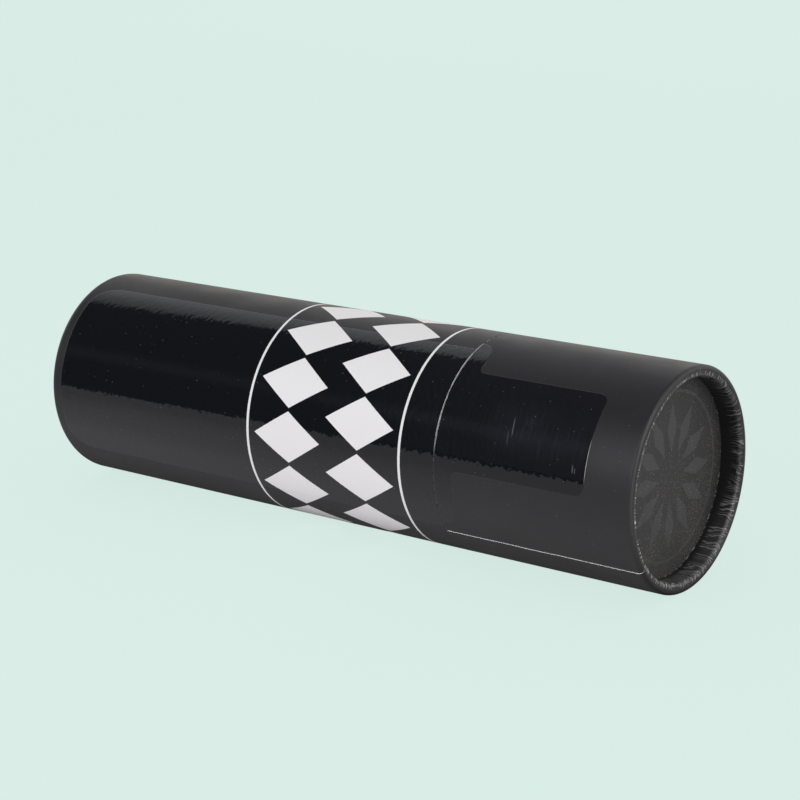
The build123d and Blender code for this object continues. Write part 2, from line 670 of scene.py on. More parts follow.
class PleatTree:
    """The tree that draws paper into pleats where it is rolled in over a rim.

    A pleat is a fold that lies over the next one, so its height climbs and then drops. Finer wrinkles lie on
    it. Both are counted round the axis, and noise moves, slants and weakens them. Each pair below is where
    something begins and where it is whole: along Y or up from the axis, or away from a fold's ridge.
    """

    NAME = "Rim Pleats"
    LIT_SIDE = (-8.0 * MM, -26.0 * MM)
    LOW = (-8.0 * MM, -32.0 * MM)
    FAR_ACROSS = (10.0 * MM, 30.0 * MM)
    FAR_UP = (-22.0 * MM, -2.0 * MM)
    LINE = (0.19 * MM, 0.05 * MM)
    FADED_DEPTH = 5.3 * MM
    FADED_DEPTH_LOW = 2.2 * MM
    WHOLE_DEPTH = 1.8 * MM
    WHOLE_DEPTH_LOW = 4.0 * MM
    WHOLE_FOLDS = 400.0

    def __init__(self) -> None:
        """Builds the tree once, for every rim."""
        self.tree = bpy.data.node_groups.new(self.NAME, "GeometryNodeTree")
        self.tree.is_modifier = True
        self.sockets: dict[str, str] = {}
        face = self.tree.interface
        face.new_socket(name="Geometry", in_out="OUTPUT", socket_type="NodeSocketGeometry")
        face.new_socket(name="Geometry", in_out="INPUT", socket_type="NodeSocketGeometry")
        for name in (
            "Rim Place", "Inward", "Axis Height", "Outer Radius", "Curl Width", "Pleats", "Wrinkles",
            "Pleat Depth", "Wrinkle Depth", "Rise Depth", "Start Share", "Seed",
        ):
            socket = face.new_socket(name=name, in_out="INPUT", socket_type="NodeSocketFloat")
            self.sockets[name] = socket.identifier
        socket = face.new_socket(name="Finish", in_out="INPUT", socket_type="NodeSocketMaterial")
        self.sockets["Finish"] = socket.identifier
        self._write()

    def _write(self) -> None:
        """Writes the nodes."""
        sketch = Sketch(self.tree)
        entry = sketch.add("NodeGroupInput")
        given = {socket.name: Term(sketch, socket) for socket in entry.outputs if socket.name}
        here = Term(sketch, sketch.add("GeometryNodeInputPosition").outputs[0])
        normal = Term(sketch, sketch.add("GeometryNodeInputNormal").outputs[0])
        shown_node = sketch.add("GeometryNodeInputNamedAttribute", data_type="FLOAT")
        shown_node.inputs["Name"].default_value = Trait.SHOWN.value
        shown = Term(sketch, shown_node.outputs["Attribute"])

        along, y, z = sketch.split(here)
        up = z - given["Axis Height"]
        radius = sketch.length(sketch.joined(y, up))
        turn = sketch.maths("ARCTAN2", y, up) / FULL_TURN
        depth = (along - given["Rim Place"]) * given["Inward"]
        inwards = given["Outer Radius"] - radius
        across = inwards / given["Curl Width"]
        path = inwards + depth
        # Painted highlight: the front side of the rim, which the light shows brightest, gets wider and
        # stronger crease lines.
        lit_side = y.rise(*self.LIT_SIDE)
        round_x = y / radius
        round_y = up / radius

        def drifting(pace: float, scale: float, offset: float) -> Term:
            """Noise round the rim that changes along the paper's path at a pace, from -0.5 to 0.5."""
            where = sketch.joined(round_x, round_y, path * pace + given["Seed"] + offset)
            return sketch.clouds(where, scale, 2.0, 0.6) - 0.5

        slow = drifting(14.0, 5.0, 0.0)
        slant = drifting(16.0, 9.0, 7.0)
        patch = drifting(0.0, 14.0, 13.0) + 0.5
        fray = drifting(9.0, 60.0, 21.0) + 0.5

        pleat, pleat_line, pleat_reach = self._fold(
            sketch, given, turn, slow * 5.0 + slant * 0.9, given["Pleats"], across, lit_side, 0.0
        )
        ripple, ripple_line, ripple_reach = self._fold(
            sketch, given, turn, slow * 9.0 + slant * 1.5, given["Wrinkles"], across, lit_side * 0.3, 31.0
        )
        lively = patch.rise(0.25, 0.55) * 0.35 + 0.65
        height = pleat * given["Pleat Depth"] + ripple * given["Wrinkle Depth"]
        room = (given["Rise Depth"] - depth).at_least(0.0)
        start = given["Start Share"] + (patch - 0.5) * 0.2
        reach = across.rise(start, start + 0.16)
        lift = (height * lively - room * reach).at_most(depth) * shown
        offset = sketch.add("ShaderNodeVectorMath", operation="SCALE")
        sketch.feed(offset.inputs[0], normal)
        sketch.feed(offset.inputs["Scale"], lift)

        moved = sketch.add("GeometryNodeSetPosition")
        self.tree.links.new(entry.outputs["Geometry"], moved.inputs["Geometry"])
        self.tree.links.new(offset.outputs[0], moved.inputs["Offset"])
        # Painted highlight: on the lower side, which faces up to the light, the crease lines reach deeper
        # down the lip; deeper down they fade as painted shade.
        low = up.rise(*self.LOW)
        faded = low * self.FADED_DEPTH_LOW + self.FADED_DEPTH
        whole = low * self.WHOLE_DEPTH_LOW + self.WHOLE_DEPTH
        fading = depth.rise(faded, whole) * fray.rise(0.25, 0.42)
        # The crease attribute paints the pleat ridges pale: partly cracked coating, partly painted highlight
        # on the ridges.
        crease_wear_and_glint = (pleat_line * pleat_reach + ripple_line * ripple_reach * 0.75) * fading * lively * shown
        # Painted shade: the crease lines are half as strong on the far upper side.
        far_side = y.rise(*self.FAR_ACROSS) * up.rise(*self.FAR_UP)
        crease_wear_and_glint = crease_wear_and_glint * (1.0 - far_side * 0.5)
        stored = sketch.add("GeometryNodeStoreNamedAttribute", data_type="FLOAT", domain="POINT")
        stored.inputs["Name"].default_value = Trait.CREASE.value
        self.tree.links.new(moved.outputs[0], stored.inputs["Geometry"])
        sketch.feed(stored.inputs["Value"], crease_wear_and_glint)
        close_tree(sketch, stored.outputs[0], entry.outputs["Finish"])

    def _fold(
        self,
        sketch: Sketch,
        given: dict[str, Term],
        turn: Term,
        wander: Term,
        count: Term,
        across: Term,
        lit_side: Term,
        offset: float,
    ) -> tuple[Term, Term, Term]:
        """One set of folds round the rim, each with its own strength and its own start.

        Args:
            sketch: the tree's sketch.
            given: the tree's inputs.
            turn: place round the axis, in turns.
            wander: how far the folds stray, in folds.
            count: how many folds go round.
            across: place across the rim, from 0 outside to 1 at the lip.
            lit_side: how much this side of the rim faces the light, where its lines are painted wider,
                earlier and stronger as painted highlight, from 0 to 1.
            offset: tells this set's chances from another's.

        Returns:
            The folds' height, the line along their ridges, and how far they have begun, each from 0 to 1.
        """
        place = turn * count + wander
        index = sketch.maths("WRAP", sketch.maths("FLOOR", place), count, 0.0)
        phase = sketch.maths("FRACT", place + self.WHOLE_FOLDS)
        chance = sketch.add("ShaderNodeTexWhiteNoise", noise_dimensions="2D")
        sketch.feed(chance.inputs["Vector"], sketch.joined(index, given["Seed"] + offset))
        strength, late, end = sketch.split(Term(sketch, chance.outputs["Color"]))
        peak = end * 0.24 + 0.4
        ridge = phase.rise(0.04, peak) * phase.rise(0.97, peak + 0.04)
        pitch = given["Outer Radius"] * FULL_TURN / count
        width = lit_side + 1.0
        line = ((phase - peak - 0.02).size() * pitch / width).rise(*self.LINE)
        start = given["Start Share"] + late * late * 0.3 * (1.0 - lit_side * 0.8)
        begun = across.rise(start, start + 0.1)
        # The lines are strongest in a band across the inner rounding and fall to about half past it.
        wear_and_glint = across.rise(start, start + 0.07) * across.rise(start + 0.42, start + 0.2)
        line = line * strength.rise(0.22, 0.78).at_least(lit_side * 0.6) * (wear_and_glint * 0.45 + 0.55)
        return ridge * (strength * 0.7 + 0.3) * begun, line, begun

    def pleat(self, piece: bpy.types.Object, finish: bpy.types.Material, **values: float) -> None:
        """Draws a piece's paper into pleats round one rim, and leaves a plain mesh.

        Args:
            piece: the wrap, whose shown points carry the attribute for it.
            finish: the wrap's material.
            values: the tree's inputs, with underscores for spaces.
        """
        modifier = piece.modifiers.new(self.NAME, "NODES")
        modifier.node_group = self.tree
        for name, value in values.items():
            modifier[self.sockets[name.replace("_", " ")]] = value
        modifier[self.sockets["Finish"]] = finish
        settled(piece)


def close_tree(sketch: Sketch, geometry: bpy.types.NodeSocket, finish: bpy.types.NodeSocket) -> None:
    """Ends a geometry tree in real meshes that carry a material.

    Args:
        sketch: the tree's sketch.
        geometry: the socket that gives what the tree has made.
        finish: the socket that gives the material.
    """
    real = sketch.add("GeometryNodeRealizeInstances")
    dressed = sketch.add("GeometryNodeSetMaterial")
    leave = sketch.add("NodeGroupOutput")
    sketch.tree.links.new(geometry, real.inputs["Geometry"])
    sketch.tree.links.new(real.outputs[0], dressed.inputs["Geometry"])
    sketch.tree.links.new(finish, dressed.inputs["Material"])
    sketch.tree.links.new(dressed.outputs[0], leave.inputs["Geometry"])


class BeadTree:
    """The tree that sets beads of dried glue on the points of a path."""

    NAME = "Glue Beads"
    LEAST_SHARE = 0.35
    FINENESS = 2

    def __init__(self) -> None:
        """Builds the tree once, for both discs."""
        self.tree = bpy.data.node_groups.new(self.NAME, "GeometryNodeTree")
        self.tree.is_modifier = True
        self.sockets: dict[str, str] = {}
        face = self.tree.interface
        face.new_socket(name="Geometry", in_out="OUTPUT", socket_type="NodeSocketGeometry")
        face.new_socket(name="Geometry", in_out="INPUT", socket_type="NodeSocketGeometry")
        for name in ("Bead Radius", "Least Share", "Greatest Share"):
            socket = face.new_socket(name=name, in_out="INPUT", socket_type="NodeSocketFloat")
            self.sockets[name] = socket.identifier
        for name, kind in (("Seed", "NodeSocketInt"), ("Finish", "NodeSocketMaterial")):
            socket = face.new_socket(name=name, in_out="INPUT", socket_type=kind)
            self.sockets[name] = socket.identifier
        sketch = Sketch(self.tree)
        entry = sketch.add("NodeGroupInput")
        bead = sketch.add("GeometryNodeMeshIcoSphere")
        bead.inputs["Subdivisions"].default_value = self.FINENESS
        self.tree.links.new(entry.outputs["Bead Radius"], bead.inputs["Radius"])
        smooth = sketch.add("GeometryNodeSetShadeSmooth")
        self.tree.links.new(bead.outputs[0], smooth.inputs["Geometry"])
        chance = sketch.add("FunctionNodeRandomValue", data_type="FLOAT_VECTOR")
        self.tree.links.new(entry.outputs["Seed"], chance.inputs["Seed"])
        for socket, name in ((chance.inputs[0], "Least Share"), (chance.inputs[1], "Greatest Share")):
            self.tree.links.new(entry.outputs[name], socket)
        strewn = sketch.add("GeometryNodeInstanceOnPoints")
        self.tree.links.new(entry.outputs["Geometry"], strewn.inputs["Points"])
        self.tree.links.new(smooth.outputs[0], strewn.inputs["Instance"])
        self.tree.links.new(chance.outputs[0], strewn.inputs["Scale"])
        close_tree(sketch, strewn.outputs[0], entry.outputs["Finish"])

    def strew(self, piece: bpy.types.Object, finish: bpy.types.Material, radius: float, seed: int) -> None:
        """Turns a piece's bare points into beads, and leaves a plain mesh.

        Args:
            piece: the object whose mesh holds the points.
            finish: the beads' material.
            radius: the largest radius of a bead.
            seed: the seed of the beads' sizes.
        """
        modifier = piece.modifiers.new(self.NAME, "NODES")
        modifier.node_group = self.tree
        modifier[self.sockets["Bead Radius"]] = radius
        modifier[self.sockets["Least Share"]] = self.LEAST_SHARE
        modifier[self.sockets["Greatest Share"]] = 1.0
        modifier[self.sockets["Seed"]] = seed
        modifier[self.sockets["Finish"]] = finish
        settled(piece)


# Finishes


@dataclass(frozen=True)
class WrapPlace:
    """Where a shader is on the tube: along its axis, round it from the top, and away from its axis."""

    sketch: Sketch
    solid: Term
    along: Term
    angle: Term
    arc: Term
    radius: Term
    flat: Term

    @classmethod
    def on(cls, sketch: Sketch, sizes: TubeSizes) -> "WrapPlace":
        """Writes the nodes that find the place, from the frame's own coordinates.

        Args:
            sketch: the sketch of the material's tree.
            sizes: the tube's sizes.

        Returns:
            The place.
        """
        solid = sketch.place()
        along, y, z = sketch.split(solid)
        up = z - sizes.axis_height
        angle = sketch.maths("ARCTAN2", y * -1.0, up)
        arc = angle * sizes.radius
        radius = sketch.length(sketch.joined(y, up))
        return cls(sketch, solid, along, angle, arc, radius, sketch.joined(along, arc))


@dataclass(frozen=True)
class Panel:
    """A rectangle of gloss varnish on the wrap, with rounded corners."""

    near: float
    far: float
    top_deg: float
    foot_deg: float
    corner: float

    def distance(self, place: WrapPlace, sizes: TubeSizes) -> Term:
        """Measures how far a place lies from the panel's outline.

        Args:
            place: the place on the tube.
            sizes: the tube's sizes.

        Returns:
            The distance outside the panel, or below zero inside it.
        """
        sketch = place.sketch
        top = math.radians(self.top_deg) * sizes.radius
        foot = math.radians(self.foot_deg) * sizes.radius
        across = (place.along - (self.near + self.far) / 2.0).size()
        down = (place.arc - (top + foot) / 2.0).size()
        past_end = (across - ((self.far - self.near) / 2.0 - self.corner)).at_least(0.0)
        past_side = (down - ((foot - top) / 2.0 - self.corner)).at_least(0.0)
        return sketch.length(sketch.joined(past_end, past_side)) - self.corner


@dataclass(frozen=True)
class VarnishMark:
    """A fine pale mark in the varnish, round the tube: a scratch, or a painted glint of the front lamp."""

    along: float
    top_deg: float
    foot_deg: float
    half_width: float
    strength: float
    slant: float = 0.1

    def mask(self, place: WrapPlace, sizes: TubeSizes) -> Term:
        """Draws the mark.

        Args:
            place: the place on the tube.
            sizes: the tube's sizes.

        Returns:
            The mark's strength in it, and 0 beside it.
        """
        middle = math.radians((self.top_deg + self.foot_deg) / 2.0)
        half = math.radians((self.foot_deg - self.top_deg) / 2.0)
        down = place.angle - middle
        across = (place.along - self.along - down * (self.slant * sizes.radius)).size()
        line = across.rise(self.half_width, self.half_width * 0.2)
        return line * down.size().rise(half, half * 0.3) * self.strength


@dataclass(frozen=True)
class LozengeBand:
    """White lozenges in rows round the body, with thin lines beside the rows."""

    rows: tuple[float, ...]
    lines: tuple[float, ...]
    count: int = 12
    half_length: float = 16.0 * MM
    line_width: float = 1.1 * MM
    gap_share: float = 0.06
    softness: float = 0.1 * MM

    def mask(self, place: WrapPlace, sizes: TubeSizes) -> Term:
        """Draws the lozenges and the lines.

        Args:
            place: the place on the tube.
            sizes: the tube's sizes.

        Returns:
            1 on the white ink and 0 beside it.
        """
        sketch = place.sketch
        pitch = FULL_TURN * sizes.radius / self.count
        half_width = pitch / 2.0 * (1.0 - self.gap_share)
        inked = None
        for index, row in enumerate(self.rows):
            shift = pitch / 2.0 * (index % 2)
            local = sketch.maths("WRAP", place.arc + shift, pitch / 2.0, -pitch / 2.0).size()
            share = (place.along - row).size() / self.half_length + local / half_width
            lozenge = share.rise(1.0 + self.softness / half_width, 1.0 - self.softness / half_width)
            inked = lozenge if inked is None else inked.at_least(lozenge)
        for line in self.lines:
            edge = self.line_width / 2.0
            stripe = (place.along - line).size().rise(edge + self.softness, edge - self.softness)
            inked = inked.at_least(stripe)
        return inked


def new_finish(name: str) -> tuple[bpy.types.Material, Sketch, bpy.types.Node]:
    """A material with one shader.

    Args:
        name: the material's name.

    Returns:
        The material, the sketch of its tree and its shader node.
    """
    material = bpy.data.materials.new(name)
    material.use_nodes = True
    tree = material.node_tree
    tree.nodes.clear()
    sketch = Sketch(tree)
    shader = sketch.add("ShaderNodeBsdfPrincipled")
    output = sketch.add("ShaderNodeOutputMaterial")
    tree.links.new(shader.outputs[0], output.inputs["Surface"])
    return material, sketch, shader


def press(sketch: Sketch, shader: bpy.types.Node, height: Term) -> None:
    """Gives a shader a relief.

    Args:
        sketch: the sketch of the material's tree.
        shader: the shader.
        height: the relief's height, in metres.
    """
    bump = sketch.add("ShaderNodeBump")
    bump.inputs["Strength"].default_value = 1.0
    bump.inputs["Distance"].default_value = 1.0
    sketch.feed(bump.inputs["Height"], height)
    sketch.tree.links.new(bump.outputs["Normal"], shader.inputs["Normal"])


@dataclass(frozen=True)
class PrintedWrapFinish:
    """Black printed paper: a matte ground, gloss varnish in panels, white ink, wear at its edges, and dust,
    with painted light: a highlight on the lit side of the worn mouth, sheen and glints on the varnish, lit
    crease lines and a lit lower side in the rolled end.

    Fields that end in depths are pairs: the depth where something begins, and the depth where it is whole.
    They are measured inwards from the outer radius or along the tube from the rolled end.
    """

    name: str
    sizes: TubeSizes
    panels: tuple[Panel, ...]
    mouth: float
    rim: float
    band: LozengeBand | None = None
    scratches_and_glints: tuple[VarnishMark, ...] = ()
    rub_sheen_middle: float = -1.0
    rub_sheen_half: float = 28.0 * MM
    # Painted highlight: the band round the mouth where its bared edge is drawn wider and paler, on the lit
    # upper side.
    lit_from_deg: float = 15.0
    lit_to_deg: float = 80.0
    worn_width: float = 0.23 * MM
    matte_level: float = 0.0135
    varnished: Colour = grey(0.006, -0.12)
    white: Colour = (0.95, 0.93, 0.91, 1.0)
    # Pale colour of bared paper, also used to paint highlights and glints.
    wear_and_glint: Colour = grey(0.85, 0.02)
    dust: Colour = grey(0.27)
    # Bluish tone of rub marks on the varnish, which also paints the front lamp's reflection there.
    rub_and_sheen: Colour = (0.018, 0.02, 0.027, 1.0)
    rolled: Colour = grey(0.014)
    # Painted light: paler colour for the lower side of the rolled end, which faces up to the light.
    rolled_low_lit: Colour = grey(0.055)
    rolled_low_deg: tuple[float, float] = (104.0, 150.0)
    rolled_low_depths: tuple[float, float] = (8.0 * MM, 3.5 * MM)
    rolled_depths: tuple[float, float] = (9.2 * MM, 8.0 * MM)
    outside_depths: tuple[float, float] = (1.2 * MM, 0.9 * MM)
    # Pale crease colour: cracked coating on the pleat ridges, and painted highlight on them.
    crease_wear_and_glint: Colour = grey(0.85, 0.02)
    # Pale colour of scratches and of painted glints in the varnish.
    scratch_and_glint: Colour = (0.2, 0.21, 0.25, 1.0)
    matte_roughness: float = 0.5
    varnish_roughness: float = 0.04
    ink_roughness: float = 0.45
    curl_roughness: float = 0.32
    ior: float = 1.52
    varnish_edge: float = 0.12 * MM
    varnish_height: float = 0.012 * MM
    ripple_height: float = 0.075 * MM
    swell_height: float = 0.03 * MM
    grain_height: float = 0.004 * MM
    dust_pitch: float = 3.4 * MM
    dust_radius: float = 0.13 * MM
    dust_share: float = 0.17
    rub_sheen_from_deg: tuple[float, float] = (44.0, 60.0)
    rub_sheen_to_deg: tuple[float, float] = (80.0, 68.0)
    step_round: float = 5.2 * MM
    lap_deg: float = 0.0
    lap_line: float = 0.09 * MM
    crest_depths: tuple[float, float] = (2.4 * MM, 1.8 * MM)
    crest_inner_depths: tuple[float, float] = (3.6 * MM, 2.4 * MM)
    # Painted highlight along the varnish's edge near the lid's end.
    varnish_glint_line: tuple[float, float] = (0.13 * MM, 0.05 * MM)
    varnish_glint_deg: float = 72.0
    varnish_glint_half_deg: float = 12.0
    varnish_glint_from: float = 1.0

    def build(self) -> bpy.types.Material:
        """Builds the material.

        Returns:
            The material.
        """
        material, sketch, shader = new_finish(self.name)
        place = WrapPlace.on(sketch, self.sizes)
        outline = self._outline(sketch, place)
        outside = place.radius.rise(*self._under(self.outside_depths))
        gloss = outline.rise(self.varnish_edge, -self.varnish_edge) * outside
        colour = self._ground(sketch, place, gloss)
        rough = sketch.between(gloss, self._matte_roughness(sketch, place), self.varnish_roughness)
        if self.band:
            ink = self.band.mask(place, self.sizes) * outside
            colour = sketch.blend(ink, colour, self.white)
            rough = sketch.between(ink, rough, self.ink_roughness)

        depth = (place.along - self.rim).size()
        curl = depth.rise(*self.rolled_depths) * (1.0 - outside)
        # Painted light: the lower part of the rolled end is coloured paler, where it faces up to the light.
        low = place.angle.size().rise(*(math.radians(angle) for angle in self.rolled_low_deg))
        low = low * depth.rise(*self.rolled_low_depths)
        colour = sketch.blend(curl, colour, sketch.blend(low, self.rolled, self.rolled_low_lit))
        rough = sketch.between(curl, rough, self.curl_roughness)
        # Crease lines from the pleats: partly cracked coating, partly painted highlight.
        crease_wear_and_glint = sketch.trait(Trait.CREASE)
        colour = sketch.blend((crease_wear_and_glint * 0.95).at_most(0.95), colour, self.crease_wear_and_glint)

        dust = sketch.specks(place.flat, self.dust_pitch, self.dust_radius, self.dust_share)
        if self.band:
            dust = dust * (1.0 - ink)
        colour = sketch.blend(dust * 0.8, colour, self.dust)
        # Real wear at the mouth and the lap's cut edges, with painted highlight on the mouth's lit side and
        # a painted glint on the varnish edge, all in one pale colour.
        wear_and_glint = self._mouth_wear_and_highlight(sketch, place).at_least(sketch.trait(Trait.WORN))
        wear_and_glint = wear_and_glint.at_least(self._lap_on_crest(place, depth))
        wear_and_glint = wear_and_glint.at_least(self._varnish_edge_glint(sketch, place, outline))
        colour = sketch.blend(wear_and_glint, colour, self.wear_and_glint)
        rough = sketch.between(wear_and_glint, rough, 0.8)

        sketch.feed(shader.inputs["Base Color"], colour)
        sketch.feed(shader.inputs["Roughness"], rough)
        shader.inputs["IOR"].default_value = self.ior
        press(sketch, shader, self._relief(sketch, place, gloss))
        return material

    def _under(self, depths: tuple[float, float]) -> tuple[float, float]:
        """The radii at two depths under the outer radius."""
        return self.sizes.radius - depths[0], self.sizes.radius - depths[1]

    def _outline(self, sketch: Sketch, place: WrapPlace) -> Term:
        """Joins the panels of varnish, with a hollow rounding where one steps into another.

        Args:
            sketch: the sketch of the material's tree.
            place: the place on the tube.

        Returns:
            The distance outside their common outline, or below zero inside it.
        """
        outline = self.panels[0].distance(place, self.sizes)
        for panel in self.panels[1:]:
            distance = panel.distance(place, self.sizes)
            outline = sketch.maths("SMOOTH_MIN", outline, distance, self.step_round)
        return outline

    def _ground(self, sketch: Sketch, place: WrapPlace, gloss: Term) -> Term:
        """Colours the matte ground and the varnish, with rub marks that carry a painted reflection of the
        front lamp, with scratches, and with painted glints.

        Args:
            sketch: the sketch of the material's tree.
            place: the place on the tube.
            gloss: 1 on the varnish and 0 beside it.

        Returns:
            The colour.
        """
        mottle = sketch.clouds(place.solid, 160.0, 3.0, 0.6)
        ground = sketch.blend(mottle, grey(self.matte_level * 0.86), grey(self.matte_level * 1.14))
        colour = sketch.blend(gloss, ground, self.varnished)
        # Painted reflection: rub marks that also paint the front lamp's bluish sheen on the varnish.
        colour = sketch.blend(gloss * self._rub_and_lamp_sheen(sketch, place), colour, self.rub_and_sheen)
        # Scratches, and painted glints of the front lamp drawn as pale marks.
        for varnish_mark in self.scratches_and_glints:
            colour = sketch.blend(gloss * varnish_mark.mask(place, self.sizes), colour, self.scratch_and_glint)
        return colour

    def _lap_on_crest(self, place: WrapPlace, depth: Term) -> Term:
        """Draws the lap's cut edge where it turns over the crest of the rolled end.

        Args:
            place: the place on the tube.
            depth: how far the place lies from the rolled end.

        Returns:
            How pale the paper is there.
        """
        on_crest = depth.rise(*self.crest_depths) * place.radius.rise(*self._under(self.crest_inner_depths))
        line = (place.arc - math.radians(self.lap_deg) * self.sizes.radius).size()
        return line.rise(self.lap_line, self.lap_line * 0.4) * on_crest * 0.7

    def _matte_roughness(self, sketch: Sketch, place: WrapPlace) -> Term:
        """The matte ground's roughness, with handling marks."""
        rub_and_sheen = sketch.clouds(sketch.stretched(place.solid, (1.0, 1.6, 1.6)), 38.0, 3.0, 0.65)
        return sketch.ranged(rub_and_sheen, 0.3, 0.75, self.matte_roughness + 0.03, self.matte_roughness - 0.05)

    def _relief(self, sketch: Sketch, place: WrapPlace, gloss: Term) -> Term:
        """Shapes the varnish's ripple and edge, and the matte paper's grain.

        Args:
            sketch: the sketch of the material's tree.
            place: the place on the tube.
            gloss: 1 on the varnish and 0 beside it.

        Returns:
            Their height, in metres.
        """
        ripple = sketch.clouds(sketch.stretched(place.solid, (1.1, 0.7, 0.7)), 560.0, 1.0, 0.5)
        swell = sketch.clouds(sketch.stretched(place.solid, (0.55, 1.0, 1.0)), 90.0, 1.0, 0.5)
        grain = sketch.clouds(place.solid, 2600.0, 1.0, 0.5)
        varnish = ripple * self.ripple_height + swell * self.swell_height + self.varnish_height
        return gloss * varnish + (1.0 - gloss) * (grain * self.grain_height)

    def _rub_and_lamp_sheen(self, sketch: Sketch, place: WrapPlace) -> Term:
        """Draws fine streaks round the tube: rub marks on the varnish, with a bluish painted reflection of
        the front lamp on the band where that lamp shows.

        Args:
            sketch: the sketch of the material's tree.
            place: the place on the tube.

        Returns:
            How much rub and painted lamp sheen the varnish shows.
        """
        streaks = sketch.clouds(sketch.joined(place.along, place.arc * 0.12), 700.0, 2.0, 0.6)
        patches = sketch.clouds(sketch.joined(place.along, place.arc * 0.7, 0.3), 50.0, 2.0, 0.5)
        near = (place.along - self.rub_sheen_middle).size().rise(self.rub_sheen_half, self.rub_sheen_half * 0.4)
        patches = patches.rise(0.35, 0.6) * near
        # Painted reflection: only on this band round the tube, where the front lamp shows in the varnish.
        lit_side = place.angle.rise(*(math.radians(angle) for angle in self.rub_sheen_from_deg))
        lit_side = lit_side * place.angle.rise(*(math.radians(angle) for angle in self.rub_sheen_to_deg))
        return patches * lit_side * (streaks.rise(0.5, 0.75) * 0.7 + 0.3)

    def _varnish_edge_glint(self, sketch: Sketch, place: WrapPlace, outline: Term) -> Term:
        """Paints a highlight: a thin pale line where the raised edge of the varnish across the tube catches
        the front lamp.

        Args:
            sketch: the sketch of the material's tree.
            place: the place on the tube.
            outline: the distance outside the varnish.

        Returns:
            How pale the line is.
        """
        line = outline.size().rise(*self.varnish_glint_line)
        middle = math.radians(self.varnish_glint_deg)
        half = math.radians(self.varnish_glint_half_deg)
        stretch = (place.angle - middle).size().rise(half, half * 0.4)
        beyond = sketch.maths("GREATER_THAN", place.along, self.varnish_glint_from)
        return line * stretch * beyond * 0.55

    def _mouth_wear_and_highlight(self, sketch: Sketch, place: WrapPlace) -> Term:
        """Bares the paper along the cut edge at the mouth, and draws it wider and paler on the upper side as
        painted highlight, where the light falls on its white core.

        Args:
            sketch: the sketch of the material's tree.
            place: the place on the tube.

        Returns:
            How bare the paper is, with the painted highlight.
        """
        first = math.radians(self.lit_from_deg)
        last = math.radians(self.lit_to_deg)
        # Painted highlight: the bared edge is wider and paler on the upper side, where the light falls on
        # its white core.
        lit_side = place.angle.rise(first - 0.3, first + 0.3) * place.angle.rise(last + 0.12, last - 0.16)
        ragged = sketch.clouds(place.solid, 420.0, 3.0, 0.7)
        patches = sketch.clouds(place.solid, 70.0, 2.0, 0.6)
        width = (ragged * 0.9 + 0.4) * (lit_side * 0.85 + 0.15)
        width = width * (patches.rise(0.25, 0.6) * 0.6 + 0.4) * self.worn_width
        inwards = (place.along - self.mouth).size()
        return inwards.rise(width, width * 0.55) * (lit_side * 0.72 + 0.28)


